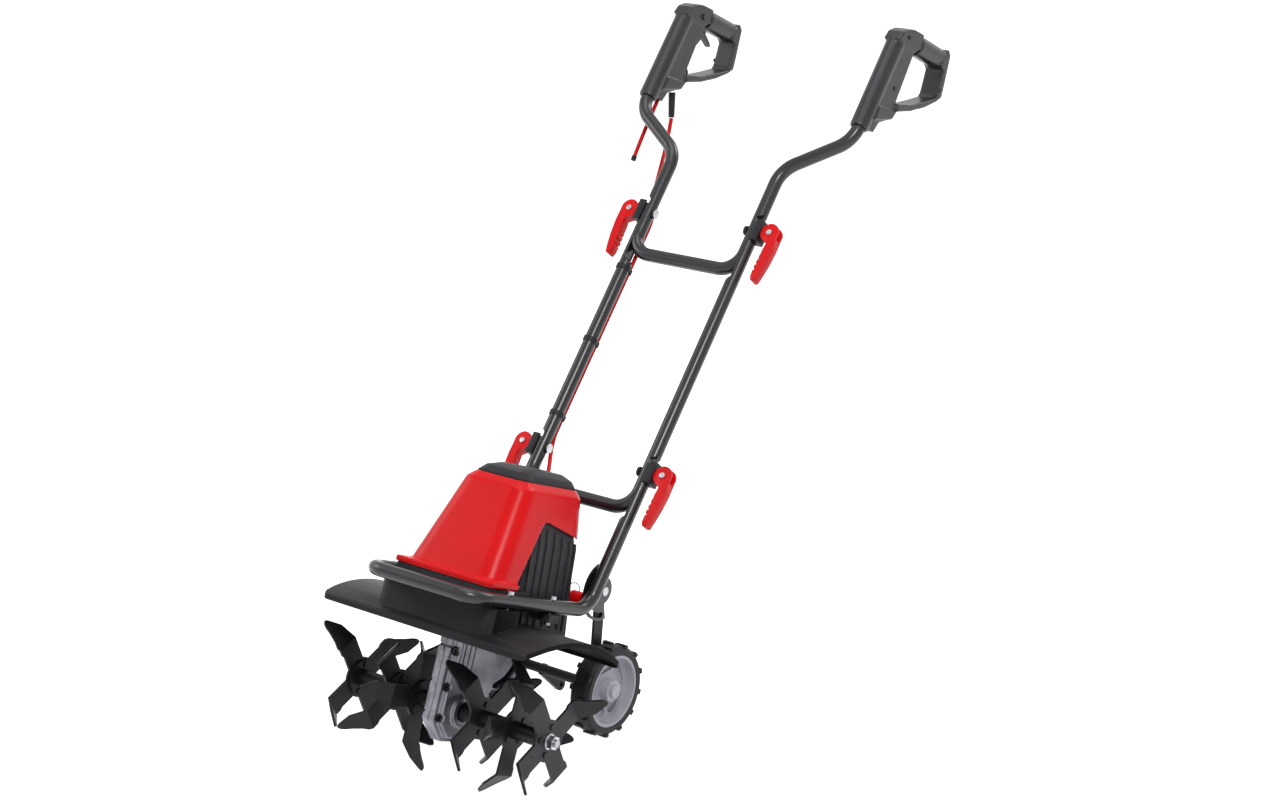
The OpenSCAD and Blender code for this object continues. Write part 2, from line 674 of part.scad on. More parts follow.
module motor_cap() color("#2b2c2e") leaned() difference() {
    tapered_box([cap_foot, cap_shoulder, cap_top]);
    tapered_box([
        drawn_in(at_level(cap_foot, cap_foot[0] - 1), cover_wall),
        drawn_in(cap_shoulder, cover_wall),
        drawn_in(at_level(cap_top, cap_top[0] - cover_wall), cover_wall)
    ]);
}
stator_z = stator_floor_z + stator_floor_t;
stator_l = 70;
air_gap = 0.6;
commutator_z = 276;
commutator_l = 20;
commutator_r = 14;
module on_motor() leaned() translate([0, worm_y, 0]) children();
module stator() color("#6b6b70") on_motor() translate([0, 0, stator_z]) difference() {
    cylinder(h = stator_l, r = stator_d / 2);
    translate([0, 0, -1]) cylinder(h = stator_l + 2, r = armature_d / 2 + air_gap);
    for (a = [45 : 90 : 315]) rotate([0, 0, a]) translate([armature_d / 2 + 7, 0, -1]) cylinder(h = stator_l + 2, r = 4);
}
module brush_holders() color("#3a3226") on_motor() translate([0, 0, stator_z + stator_l]) {
    difference() {
        cylinder(h = 3, r = stator_d / 2);
        translate([0, 0, -1]) cylinder(h = 5, r = commutator_r + 6);
    }
    for (side = [-1, 1]) scale([side, 1, 1])
        translate([commutator_r + air_gap, -5, commutator_z - stator_z - stator_l + 4]) cube([22, 10, 10]);
    for (side = [-1, 1]) translate([side * 30 - 4, -5, 3]) cube([8, 10, commutator_z - stator_z - stator_l + 1]);
}
module motor_shaft() color("#9a9aa0") on_motor() translate([0, 0, lower_bearing_z])
    cylinder(h = top_bearing_z + motor_bearing_w - lower_bearing_z, d = motor_shaft_d);
module armature() color("#7a4a2a") on_motor() {
    difference() {
        union() {
            translate([0, 0, stator_z + 4]) cylinder(h = stator_l - 8, d = armature_d);
            translate([0, 0, stator_z - 4]) cylinder(h = stator_l + 4, d = armature_d - 12);
        }
        cylinder(h = far, r = motor_shaft_d / 2 + seat_fit);
    }
    difference() {
        translate([0, 0, commutator_z]) cylinder(h = commutator_l, r = commutator_r);
        cylinder(h = far, r = motor_shaft_d / 2 + seat_fit);
    }
}
fan_z = 160;
fan_r = 38;
module cooling_fan() color("#444448") on_motor() translate([0, 0, fan_z]) difference() {
    union() {
        cylinder(h = 3, r = fan_r);
        cylinder(h = 18, r = 12);
        for (a = [0 : 30 : 330]) rotate([0, 0, a]) translate([10, -1, 0]) cube([fan_r - 11, 2, 15]);
    }
    translate([0, 0, -1]) cylinder(h = 20, r = motor_shaft_d / 2 + seat_fit);
}

// ---------------------------------------------------------------- Frame
tube_r = tube_d / 2;
bore_r = tube_r - tube_wall;
front_corner_r = 35;
rear_bend = lean_angle + handle_angle;
rear_bend_r = 40;
u_corner_r = 36;
knee_r = 50;
knee_rise = 71.4;
lap_end = 14;
lap_clear = 24;
lap_slope = 9;
lap_land = 2;
lap_gap = gap / 2;
clamp_bolt_r = clamp_bolt_d / 2;
pressed_d = tube_d + 4;

// Cross bar and its two legs up to the full round tube above a clamp, pressed flat on the outer side
module u_end(bolt_s, drop) {
    bar_s = bolt_s - drop;
    translate([0, 0, bar_s]) ring_x(-rail_x + u_corner_r, rail_x - u_corner_r, tube_r, bore_r);
    both_sides() difference() {
        union() {
            translate([rail_x, 0, bar_s + u_corner_r]) rotate([180, 0, 0]) mirror([1, 0, 0])
                bend(u_corner_r, 90, tube_r, 0);
            translate([rail_x, 0, bar_s + u_corner_r])
                cylinder(h = drop - u_corner_r + lap_clear + lap_slope, r = tube_r);
        }
        slab_y(pressed_d) polygon([
            [rail_x - lap_gap, bar_s - tube_d], [rail_x - lap_gap, bolt_s + lap_clear - lap_land],
            [rail_x + tube_r, bolt_s + lap_clear + lap_slope - lap_land],
            [rail_x + tube_d, bolt_s + lap_clear + lap_slope - lap_land], [rail_x + tube_d, bar_s - tube_d]
        ]);
        translate([0, 0, bolt_s]) rod_x(0, far, clamp_bolt_r + run_fit);
    }
}
// End of a tube that lies outside a U, pressed flat on the inner side, drawn up Z from where it begins
function outer_lap_s(bolt_s, drop) = bolt_s - drop - tube_r - lap_slope - 4;
module outer_lap(drop) {
    bolt_z = drop + tube_r + lap_slope + 4;
    difference() {
        cylinder(h = bolt_z + lap_end, r = tube_r);
        slab_y(pressed_d) polygon([
            [lap_gap, bolt_z + lap_end + 1], [lap_gap, lap_slope + lap_land],
            [-tube_r, lap_land], [-tube_d, lap_land], [-tube_d, bolt_z + lap_end + 1]
        ]);
        translate([0, 0, bolt_z]) rod_x(-far, far, clamp_bolt_r + seat_fit);
    }
}
bumper_half_l = rail_x - front_corner_r + bend_insert;
function bend_trim(bend_r, angle) = bend_r * tan(angle / 2);
module lower_frame() color("#34353a") leaned() difference() {
    union() {
        translate([0, -bumper_y, rail_z]) ring_x(-bumper_half_l, bumper_half_l, tube_r, bore_r);
        both_sides() translate([rail_x, front_corner_r - bumper_y, rail_z]) {
            rotate([90, 0, 0]) mirror([1, 0, 0])
                bend(front_corner_r, 90, tube_r + bend_step, bore_r - bend_step);
            translate([0, -bend_insert, 0]) rotate([-90, 0, 0]) tube_run([
                bumper_y + rear_bend_y - front_corner_r - bend_trim(rear_bend_r, rear_bend) + bend_insert,
                outer_lap_s(lower_clamp_s, lower_bar_drop) - bend_trim(rear_bend_r, rear_bend)
            ], [[rear_bend_r, rear_bend, -90]], tube_r, bore_r) outer_lap(lower_bar_drop);
        }
    }
    rail_bolt_places() translate([0, 0, rail_z - tube_d]) cylinder(h = 2 * tube_d, r = rail_bolt_d / 2 + seat_fit);
}
module middle_frame() color("#34353a") handle_at(0) {
    u_end(lower_clamp_s, lower_bar_drop);
    both_sides() translate([rail_x, 0, lower_clamp_s + lap_clear + lap_slope]) tube_run(
        [outer_lap_s(upper_clamp_s, upper_bar_drop) - lower_clamp_s - lap_clear - lap_slope], [], tube_r, bore_r
    ) outer_lap(upper_bar_drop);
}
knee_angle = atan2(grip_x - rail_x, knee_rise);
knee_trim = bend_trim(knee_r, knee_angle);
tube_end_s = grip_s + sleeve_l - 10;
module upper_frame() color("#34353a") handle_at(0) {
    u_end(upper_clamp_s, upper_bar_drop);
    both_sides() translate([rail_x, 0, upper_clamp_s + lap_clear + lap_slope]) tube_run([
        knee_s - upper_clamp_s - lap_clear - lap_slope - knee_trim,
        norm([grip_x - rail_x, knee_rise]) - 2 * knee_trim,
        tube_end_s - knee_s - knee_rise - knee_trim
    ], [[knee_r, knee_angle, 0], [knee_r, knee_angle, 180]], tube_r, bore_r);
}
bolt_head_t = 5;
rail_bolt_head_r = 5.5;
module frame_bolts() color("silver") {
    leaned() both_sides() for (b = [[nose_bolt_y, deck_t], [lug_bolt_y, lug_t]]) translate([rail_x, b.x, 0]) {
        translate([0, 0, nose_top - b.y]) cylinder(h = tube_d + gap + b.y, r = rail_bolt_d / 2);
        translate([0, 0, rail_z + tube_r]) cylinder(h = bolt_head_t, r = rail_bolt_head_r);
        translate([0, 0, nose_top - b.y - bolt_head_t]) cylinder(h = bolt_head_t, r = rail_bolt_head_r, $fn = 6);
    }
    upright() both_sides() translate([0, pivot_y, pivot_z]) {
        rod_x(strut_x0 - bolt_head_t, plate_x1 + bolt_head_t, pivot_bolt_d / 2);
        rod_x(plate_x1, plate_x1 + bolt_head_t, 7);
        translate([strut_x0 - gap - bolt_head_t, 0, 0]) rotate([0, 90, 0]) cylinder(h = bolt_head_t, r = 7.5, $fn = 6);
    }
}

// ---------------------------------------------------------------- Clamps
saddle_x = rail_x + tube_r;
pin_x = saddle_x + saddle_t + cam_r + gap;
eye_half_w = 4.5;
eye_r = 7;
bolt_dome_r = 8;
saddle_half_n = 13;
saddle_half_t = 18;
module clamp_hardware(bolt_s) handle_at(bolt_s) both_sides() {
    // Bolt with a domed head inside and an eye outside
    difference() {
        union() {
            rod_x(rail_x - tube_r - gap - bolt_head_t, pin_x, clamp_bolt_r);
            rod_x(rail_x - tube_r - gap - bolt_head_t, rail_x - tube_r - gap, bolt_dome_r);
            translate([pin_x, 0, 0]) rotate([90, 0, 0]) cylinder(h = 2 * eye_half_w, r = eye_r, center = true);
        }
        translate([pin_x, 0, 0]) rotate([90, 0, 0])
            cylinder(h = lever_w, r = lever_pin_d / 2 + seat_fit, center = true);
    }
    translate([pin_x, 0, 0]) rotate([90, 0, 0]) cylinder(h = lever_w + 1.5, d = lever_pin_d, center = true);
    difference() {
        translate([rail_x + 5, -saddle_half_n, -saddle_half_t])
            cube([saddle_x + saddle_t - rail_x - 5, 2 * saddle_half_n, 2 * saddle_half_t]);
        translate([rail_x, 0, -far / 2]) cylinder(h = far, r = tube_r + seat_fit);
        rod_x(0, far, clamp_bolt_r + seat_fit);
    }
}
module lower_clamps() color("#8f8f94") clamp_hardware(lower_clamp_s);
module upper_clamps() color("#8f8f94") clamp_hardware(upper_clamp_s);
notch_t = 2.4;
module lever_shape() difference() {
    union() {
        rotate([90, 0, 0]) cylinder(h = lever_w, r = cam_r, center = true);
        slab_y(lever_w) polygon([
            [-8, -13], [cam_r, -1], [cam_r + 0.5, -0.3 * lever_l], [14.5, -0.6 * lever_l], [11, -0.85 * lever_l],
            [8, -lever_l], [2, -lever_l - 1], [-1, -lever_l + 6], [-1.5, -0.7 * lever_l], [0, -0.4 * lever_l],
            [1.5, -20]
        ]);
    }
    // Slot for the eye of the bolt
    translate([-cam_r - 1, -eye_half_w - gap, -eye_r - 1.5])
        cube([2 * cam_r + 2, 2 * (eye_half_w + gap), far]);
    rotate([90, 0, 0]) cylinder(h = far, r = lever_pin_d / 2 + run_fit, center = true);
    // Ribs on the inner side
    for (k = [0 : 4]) translate([-3, 0, -0.34 * lever_l - 0.11 * k * lever_l])
        cube([2 * notch_t + 3, far, notch_t], center = true);
}
module lever(side, bolt_s) color("#e30c14") handle_at(bolt_s) on_side(side) translate([pin_x, 0, 0]) lever_shape();

// ---------------------------------------------------------------- Transport wheels
plate_t = 4;
plate_x1 = rail_x - tube_r;
plate_x0 = plate_x1 - plate_t;
strut_x1 = plate_x0 - gap;
strut_x0 = strut_x1 - plate_t;
strut_half_w = 12;
pivot_bolt_d = 8;
wheel_z = tyre_r - axle_h;
lock_y = 214.5;
lock_z = 126;
lock_pin_d = 8;
lock_r = norm([lock_y - pivot_y, lock_z - pivot_z]);
lock_a = 180 + atan((pivot_z - lock_z) / (pivot_y - lock_y));
bracket_r = lock_r + 9;
module wheel_brackets() color("#34353a") upright() both_sides() slab_x(plate_x0, plate_x1)
    translate([pivot_y, pivot_z]) difference() {
        union() {
            circle(22);
            polygon(concat([[0, 0]], [for (a = [100 : 12.5 : 275]) polar(bracket_r, a)]));
        }
        circle(pivot_bolt_d / 2 + seat_fit);
        // Curved slot that the lock pin runs in
        intersection() {
            difference() {
                circle(lock_r + lock_pin_d / 2 + gap);
                circle(lock_r - lock_pin_d / 2 - gap);
            }
            polygon([[0, 0], polar(2 * lock_r, lock_a), polar(2 * lock_r, lock_a + carriage_swing / 2),
                polar(2 * lock_r, lock_a + carriage_swing)]);
        }
        for (a = [lock_a, lock_a + carriage_swing]) translate(polar(lock_r, a)) circle(lock_pin_d / 2 + gap);
    }
// Bars are this much narrower than the round ends that they run into
bar_step = 1;
cross_tube_r = 8;
spur_x = -14;
spur_t = 8;
module bar_2d(a, b, w) {
    d = b - a;
    translate(a) rotate(atan2(d.y, d.x)) translate([0, -w / 2]) square([norm(d), w]);
}
module wheel_carriage() color("#2c2c2f") upright() {
    difference() {
        union() {
            both_sides() slab_x(strut_x0, strut_x1) {
                bar_2d([pivot_y, pivot_z], [wheel_y, wheel_z], 2 * strut_half_w - bar_step);
                bar_2d([pivot_y, pivot_z], [lock_y, lock_z], 2 * lock_pin_d - bar_step);
                translate([pivot_y, pivot_z]) circle(strut_half_w);
                translate([wheel_y, wheel_z]) circle(strut_half_w);
                translate([lock_y, lock_z]) circle(lock_pin_d);
            }
            translate([0, wheel_y, wheel_z]) rod_x(-strut_x0, strut_x0, cross_tube_r);
            slab_x(spur_x - spur_t / 2, spur_x + spur_t / 2) {
                bar_2d([wheel_y, wheel_z], [wheel_y + 42, wheel_z - 42], 20 - bar_step);
                translate([wheel_y + 42, wheel_z - 42]) circle(10);
            }
        }
        translate([0, wheel_y, wheel_z]) rod_x(-far, far, wheel_axle_d / 2 + seat_fit);
        translate([0, pivot_y, pivot_z]) rod_x(-far, far, pivot_bolt_d / 2 + run_fit);
        translate([0, lock_y, lock_z]) rod_x(-far, far, lock_pin_d / 2 + run_fit);
        // Bore at the end of the spur
        translate([0, wheel_y + 42, wheel_z - 42]) rod_x(-far, far, spur_bore_d / 2);
    }
}
spur_bore_d = 8.5;
cap_t = 5;
axle_end_x = tyre_outer_x + 1.5;
hub_x1 = tyre_outer_x - 2;
hub_x0 = strut_x1 + gap;
module wheel_axle() color("#8a8a8e") upright() translate([0, wheel_y, wheel_z])
    rod_x(-axle_end_x, axle_end_x, wheel_axle_d / 2);
module axle_caps() color("#8e8b94") upright() translate([0, wheel_y, wheel_z]) both_sides() difference() {
    rod_x(hub_x1 + gap, hub_x1 + gap + cap_t, 10);
    rod_x(0, axle_end_x + seat_fit, wheel_axle_d / 2 + seat_fit);
}
rim_x0 = tyre_outer_x - tyre_w + 2;
rim_wall = 5;
web_x0 = 106;
web_t = 7;
module rim(side) color("#a5a2aa") upright() on_side(side) translate([0, wheel_y, wheel_z]) difference() {
    union() {
        ring_x(rim_x0, hub_x1 + 1, rim_r, rim_r - rim_wall);
        rod_x(web_x0, web_x0 + web_t, rim_r - 1);
        rod_x(hub_x0, hub_x1, 17);
    }
    rod_x(0, far, wheel_axle_d / 2 + run_fit);
    // Long pockets pressed into the web
    for (k = [0 : 4]) rotate([72 * k + 18, 0, 0]) translate([web_x0 + 3, 0, 0]) {
        slab_x(0, far) bar_2d([36, -13], [36, 13], 14);
        for (w = [-13, 13]) translate([0, 36, w]) rod_x(0, far, 7);
    }
}
carcass_r = tyre_r - 3;
lug_count = 26;
module tyre(side) color("#1b1b1d") upright() on_side(side) translate([0, wheel_y, wheel_z]) {
    rotate([0, 90, 0]) rotate_extrude() polygon([
        [rim_r + seat_fit, tyre_outer_x - tyre_w], [carcass_r - 5, tyre_outer_x - tyre_w],
        [carcass_r, tyre_outer_x - tyre_w + 6], [carcass_r, tyre_outer_x - 6],
        [carcass_r - 5, tyre_outer_x], [rim_r + seat_fit, tyre_outer_x]
    ]);
    for (k = [0 : lug_count - 1]) rotate([360 * k / lug_count - 90, 0, 0])
        translate([tyre_outer_x - tyre_w + (k % 2 == 0 ? 1.5 : tyre_w / 2), carcass_r - 2, -4])
            cube([tyre_w / 2 - 1.5, tyre_r - carcass_r + 2, 8]);
}
knob_l = 21;
knob_r = 11;
module lock_knob(side) color("#d9141c") upright() on_side(side) translate([0, lock_y, lock_z]) {
    rod_x(strut_x0 - 0.6 - knob_l, strut_x0 - 0.6, knob_r);
    rod_x(strut_x0 - 1, plate_x1, lock_pin_d / 2);
}

// ---------------------------------------------------------------- Grips
bar_from = [52.6, 191.9];
bar_to = [130.5, 214.9];
band_half_w = 18;
parting = 0.1;
grip_screw_at = [[30, 95, grip_rail_half_w], [10, 180, 15], [150, 168, band_half_w]];
screw_r = 1.5;
relief_n = 47;
relief_t = 46;
mains_n = 28;
trigger_at = [56, 168];
trigger_pin_r = 1.5;
button_at = [30, 184];
button_r = 5;
switch_low = [17, 112];
switch_size = [22, 38];
module grip_body() {
    cylinder(h = sleeve_l, d = sleeve_d);
    slab_x(-grip_rail_half_w, grip_rail_half_w)
        polygon([[5, 8], [24, 8], [28, 28], [55, 52], [59, 69], [50, 79], [42, 171], [44, 200], [5, 180]]);
    slab_x(-15, 15) polygon([
        [-15.5, 160], [-12, 177], [0, 190], [16, 199], [34, 205], [47, 209], [56, 190], [44, 172], [5, 160]
    ]);
    slab_x(-17, 17) polygon([[8.6, 23.3], [7.2, 47.9], [59.1, 68.9], [55, 51.8]]);
    slab_x(-band_half_w, band_half_w) {
        polygon([
            [59, 69], [96, 93], [130.6, 122.2], [155, 148], [163.9, 161.6], [158, 180], [band_top_n, band_top_t],
            [128, 233], [124, 200], [138.2, 197.5], [150, 158], [148, 150], [126, 131], [91, 102], [50, 79]
        ]);
    }
    slab_bar = bar_to - bar_from;
    translate([0, bar_from.x, bar_from.y]) rotate([-90 + atan2(slab_bar.y, slab_bar.x), 0, 0])
        cylinder(h = norm(slab_bar), d = hand_bar_d);
}
module grip_cuts() {
    translate([0, 0, -1]) cylinder(h = sleeve_l - 8, r = tube_r + seat_fit);
    for (s = grip_screw_at) translate([0, s.x, s.y]) rod_x(-far, far, screw_r + seat_fit);
    translate([-parting / 2, -far, -far]) cube([parting, 2 * far, 2 * far]);
}
module right_grip() color("#3a3a3e") handle_at(grip_s) translate([grip_x, 0, 0]) difference() {
    grip_body();
    grip_cuts();
}
module left_grip() color("#3a3a3e") handle_at(grip_s) translate([-grip_x, 0, 0]) difference() {
    union() {
        grip_body();
        // Raised back of the switch, with the trigger in its slot
        slab_x(-9, 9) polygon([[40, 180], [56, 178], [63, 171], [61, 163], [57, 154], [53, 140], [40, 132]]);
        // Hook for the lead
        translate([0, 62, 88]) rotate([0, 0, 0]) rotate([90, 0, 90]) rotate_extrude(angle = 180)
            translate([9, 0]) circle(2.5);
    }
    grip_cuts();
    translate([-9, switch_low.x, switch_low.y]) cube([18, switch_size.x + 0.4, switch_size.y + 0.4]);
    slab_x(-4.3, 4.3) polygon([[47, 156], [70, 156], [70, 178], [60, 176], [47, 176]]);
    translate([0, trigger_at.x, trigger_at.y]) rod_x(-far, far, trigger_pin_r + seat_fit);
    translate([0, button_at.x, button_at.y]) rod_x(5.5, far, button_r + run_fit);
    translate([0, mains_n, 0]) cylinder(h = 46, d = lead_d + 0.2);
    translate([0, relief_n, relief_t - 8]) rotate([relief_lean, 0, 0]) cylinder(h = 20, d = lead_d + 0.2);
}
relief_lean = 30;
module switch_body() color("#202022") handle_at(grip_s) translate([-grip_x, switch_low.x + 0.2, switch_low.y + 0.2])
    translate([-8.8, 0, 0]) cube([17.6, switch_size.x, switch_size.y]);
module grip_screws() color("#9a9aa0") handle_at(grip_s) {
    both_sides() translate([grip_x, 0, 0]) for (s = grip_screw_at) translate([0, s.x, s.y]) {
        rod_x(-s.z + 2, s.z, screw_r);
        rod_x(s.z, s.z + 1.5, 3.5);
    }
    translate([-grip_x, trigger_at.x, trigger_at.y]) rod_x(-9, 9, trigger_pin_r);
}
module trigger() color("#57575b") handle_at(grip_s) translate([-grip_x, 0, 0]) difference() {
    union() {
        translate([0, trigger_at.x, trigger_at.y]) rod_x(-4, 4, 5.5);
        slab_x(-4, 4) polygon([
            [54, 173], [62, 172.5], [80, 168.5], [90, 165.5], [93, 162], [90, 159.5], [78, 161], [62, 163]
        ]);
    }
    translate([0, trigger_at.x, trigger_at.y]) rod_x(-far, far, trigger_pin_r + run_fit);
}
module lock_button() color("#57575b") handle_at(grip_s) translate([-grip_x, button_at.x, button_at.y])
    rod_x(9.8, 18.5, button_r);

// ---------------------------------------------------------------- Leads
lead_r = lead_d / 2;
lane_x = -103;
lane_n = 15;
top_clip_s = 566.7;
middle_clip_s = 430.7;
low_clip_s = 294.7;
lead_entry_x = -30;
lead_entry_z = 328.4;
lead_hole_fit = 1.5;
// Points on the leads' routes, from the tine shaft axis, and along the handle for the straight stretch
upper_route = [
    [-207, 838, 739], [-204, 828, 719], [-197, 811, 702], [-186, 789, 688], [-172, 762, 676], [-157, 734, 665],
    [-142, 706, 655], [-128, 683, 645], [-116, 665, 632], [-108, 652, 619]
];
lower_route = [
    [-102, 378, 304], [-97, 365, 291], [-88, 351, 282], [-76, 334, 277], [-62, 314, 275], [-48, 292, 268],
    [-37, 271, 259], [-31, 253, 253], [-30, 236, 255]
];
relief_from = [-210.8, 845, 783];
module cable_clips() color("#1c1c1f") handle_at(0) for (s = [low_clip_s, middle_clip_s, top_clip_s])
    translate([0, 0, s - 4]) difference() {
        union() {
            translate([-rail_x, 0, 0]) cylinder(h = 8, r = tube_r + 1.6);
            translate([lane_x, lane_n, 0]) cylinder(h = 8, r = lead_r + 1.6);
        }
        translate([-rail_x, 0, -1]) cylinder(h = 10, r = tube_r + seat_fit);
        translate([lane_x, lane_n, -1]) cylinder(h = 10, r = lead_r + seat_fit);
    }
module motor_lead_upper() color("#d9141c") upright() swept_lead(concat(
    upper_route, [for (s = [top_clip_s + 92 : -23 : top_clip_s]) on_handle(lane_x, lane_n, s)]
), lead_r);
module motor_lead_middle() color("#d9141c") upright()
    swept_lead([for (s = [top_clip_s : -34 : low_clip_s]) on_handle(lane_x, lane_n, s)], lead_r);
module motor_lead_lower() color("#d9141c") upright() swept_lead(concat(
    [for (s = [0, 15, 30]) on_handle(lane_x, lane_n, low_clip_s - s)], lower_route
), lead_r);
module strain_relief() color("#3c3c40") upright() {
    u = unit(upper_route[0] - relief_from);
    x = unit(cross([1, 0, 0], u));
    in_frame(relief_from, x, cross(u, x)) difference() {
        rotate_extrude() polygon([[0, 0], [6, 0], [6, 6], [5.2, relief_l], [0, relief_l]]);
        translate([0, 0, relief_l - 12]) cylinder(h = 20, r = lead_r + seat_fit);
    }
}
mains_exit_t = 36;
module mains_lead() color("#d9141c") handle_at(grip_s) translate([-grip_x, mains_n, mains_exit_t])
    swept_lead([for (k = [0 : 12]) [0, 0.0004 * pow(mains_lead_l * k / 12, 2), -mains_lead_l * k / 12]], lead_r);
module lead_cap() color("#161616") handle_at(grip_s) translate([-grip_x, mains_n, mains_exit_t - mains_lead_l])
    translate([0, 0.0004 * pow(mains_lead_l, 2), 0]) rotate([6, 0, 0]) translate([0, 0, -8])
        cylinder(h = 7.9, r = lead_r + 0.8);

// ---------------------------------------------------------------- The parts
lower_frame();
wheel_brackets();
frame_bolts();
deck();
motor_housing();
motor_cover();
motor_cap();
stator();
brush_holders();
ball_bearings();
gear_case_left();
gear_case_right();
case_screws();
shaft_seals();
case_guard_rim();
lower_clamps();
motor_lead_lower();
motor_shaft();
worm();
armature();
cooling_fan();
tine_shaft();
worm_wheel();
star(-star_x[2], tine_phase, 1);  // star_left_outer
star(-left_middle_star_x, tine_phase, -1);  // star_left_middle
star(-star_x[0], tine_phase + 45, 1);  // star_left_inner
star(star_x[0], tine_phase, 1);  // star_right_inner
star(star_x[1], tine_phase + 45, -1);  // star_right_middle
star(star_x[2], tine_phase, 1);  // star_right_outer
hub_sleeves();
tine_rivets();
shaft_nuts();
wheel_carriage();
wheel_axle();
axle_caps();
rim(-1);  // left_rim
tyre(-1);  // left_tyre
rim(1);  // right_rim
tyre(1);  // right_tyre
lock_knob(-1);  // left_lock_knob
lock_knob(1);  // right_lock_knob
lever(-1, lower_clamp_s);  // lower_left_lever
lever(1, lower_clamp_s);  // lower_right_lever
lever(-1, upper_clamp_s);  // upper_left_lever
lever(1, upper_clamp_s);  // upper_right_lever
middle_frame();
upper_clamps();
motor_lead_middle();
cable_clips();
upper_frame();
left_grip();
right_grip();
switch_body();
grip_screws();
strain_relief();
motor_lead_upper();
mains_lead();
lead_cap();
trigger();
lock_button();
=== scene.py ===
import math
import json

import bmesh
import bpy
from mathutils import Matrix, Vector

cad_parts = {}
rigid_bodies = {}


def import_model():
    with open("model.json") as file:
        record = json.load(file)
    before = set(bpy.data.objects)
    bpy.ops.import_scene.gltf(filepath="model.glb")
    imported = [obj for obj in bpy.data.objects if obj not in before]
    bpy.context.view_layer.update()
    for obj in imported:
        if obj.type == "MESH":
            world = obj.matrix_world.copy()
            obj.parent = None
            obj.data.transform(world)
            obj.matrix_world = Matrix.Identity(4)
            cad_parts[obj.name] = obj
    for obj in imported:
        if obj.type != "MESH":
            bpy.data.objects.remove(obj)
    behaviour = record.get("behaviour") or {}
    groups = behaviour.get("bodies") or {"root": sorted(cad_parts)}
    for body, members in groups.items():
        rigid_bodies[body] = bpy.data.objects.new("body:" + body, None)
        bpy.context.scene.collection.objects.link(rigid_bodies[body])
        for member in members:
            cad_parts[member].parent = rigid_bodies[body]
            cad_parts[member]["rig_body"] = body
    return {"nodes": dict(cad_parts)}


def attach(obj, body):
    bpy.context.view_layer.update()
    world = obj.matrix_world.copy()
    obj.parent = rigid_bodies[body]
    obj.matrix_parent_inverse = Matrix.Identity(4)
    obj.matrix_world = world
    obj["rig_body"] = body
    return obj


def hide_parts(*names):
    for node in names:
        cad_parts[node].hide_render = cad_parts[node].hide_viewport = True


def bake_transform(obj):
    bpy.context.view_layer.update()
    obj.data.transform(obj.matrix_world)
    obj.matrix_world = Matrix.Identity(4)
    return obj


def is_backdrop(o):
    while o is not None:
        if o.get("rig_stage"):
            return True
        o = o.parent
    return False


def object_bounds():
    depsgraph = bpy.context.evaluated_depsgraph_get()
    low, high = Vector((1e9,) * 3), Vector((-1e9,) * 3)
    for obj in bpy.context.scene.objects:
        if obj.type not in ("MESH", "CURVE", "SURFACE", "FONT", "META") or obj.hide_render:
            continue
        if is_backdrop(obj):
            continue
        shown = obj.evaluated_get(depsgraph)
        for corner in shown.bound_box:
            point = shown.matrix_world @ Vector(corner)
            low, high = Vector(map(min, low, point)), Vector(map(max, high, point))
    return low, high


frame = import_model()
cad_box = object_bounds()
nodes = frame["nodes"]

# ---- Camera, floor and lamps
# A plain pale floor under soft lamps, as for a catalogue. The camera stands to the front right of the
# machine, a little above it.
CAMERA_PLACE = (2.2530, -2.9870, 1.6924)
CAMERA_AXES = ((0.79905, 0.60126, 0.0), (-0.18739, 0.24904, 0.95019), (0.57131, -0.75925, 0.31167))
camera = bpy.data.objects.new("camera", bpy.data.cameras.new("camera"))
bpy.context.scene.collection.objects.link(camera)
camera.data.lens = 68.93
camera.data.sensor_width = 36.0
camera.data.clip_end = 50.0
camera.matrix_world = Matrix.Translation(CAMERA_PLACE) @ Matrix(CAMERA_AXES).transposed().to_4x4()
bpy.context.scene.camera = camera
bpy.context.scene.view_settings.view_transform = "Standard"


def linear(hex_colour):
    """An sRGB hex colour as linear red, green, blue and alpha."""
    parts = [int(hex_colour[i:i + 2], 16) / 255 for i in (1, 3, 5)]
    return [c / 12.92 if c <= 0.04045 else ((c + 0.055) / 1.055) ** 2.4 for c in parts] + [1.0]


def add_node(tree, kind, settings, links=()):
    """Adds a shader node, sets its properties and sockets, and links its sockets to others' outputs."""
    node = tree.nodes.new(kind)
    for name, value in settings.items():
        if isinstance(name, str) and hasattr(node, name):
            setattr(node, name, value)
        else:
            node.inputs[name].default_value = value
    for socket, source in links:
        tree.links.new(source, node.inputs[socket])
    return node


def white_to_the_eye(tree, shader, white):
    """Mixes a shader with plain white for what the camera and clear reflections see."""
    path = add_node(tree, "ShaderNodeLightPath", {})
    seen = add_node(tree, "ShaderNodeMath", {"operation": "MAXIMUM"}, [(0, path.outputs["Is Camera Ray"])])
    tree.links.new(path.outputs["Is Glossy Ray"], seen.inputs[1])
    clear = add_node(tree, "ShaderNodeMath", {"operation": "MAXIMUM"}, [(0, seen.outputs[0])])
    tree.links.new(path.outputs["Is Transmission Ray"], clear.inputs[1])
    mix = add_node(tree, "ShaderNodeMixShader", {}, [(0, clear.outputs[0]), (1, shader), (2, white)])
    return mix.outputs[0]


world = bpy.data.worlds.new("studio")
bpy.context.scene.world = world
world.use_nodes = True
world.node_tree.nodes.clear()
soft = add_node(world.node_tree, "ShaderNodeBackground", {"Color": linear("#f4f5f7"), "Strength": 0.34})
bright = add_node(world.node_tree, "ShaderNodeBackground", {"Color": linear("#ffffff"), "Strength": 1.0})
add_node(world.node_tree, "ShaderNodeOutputWorld", {}, [
    ("Surface", white_to_the_eye(world.node_tree, soft.outputs[0], bright.outputs[0]))])

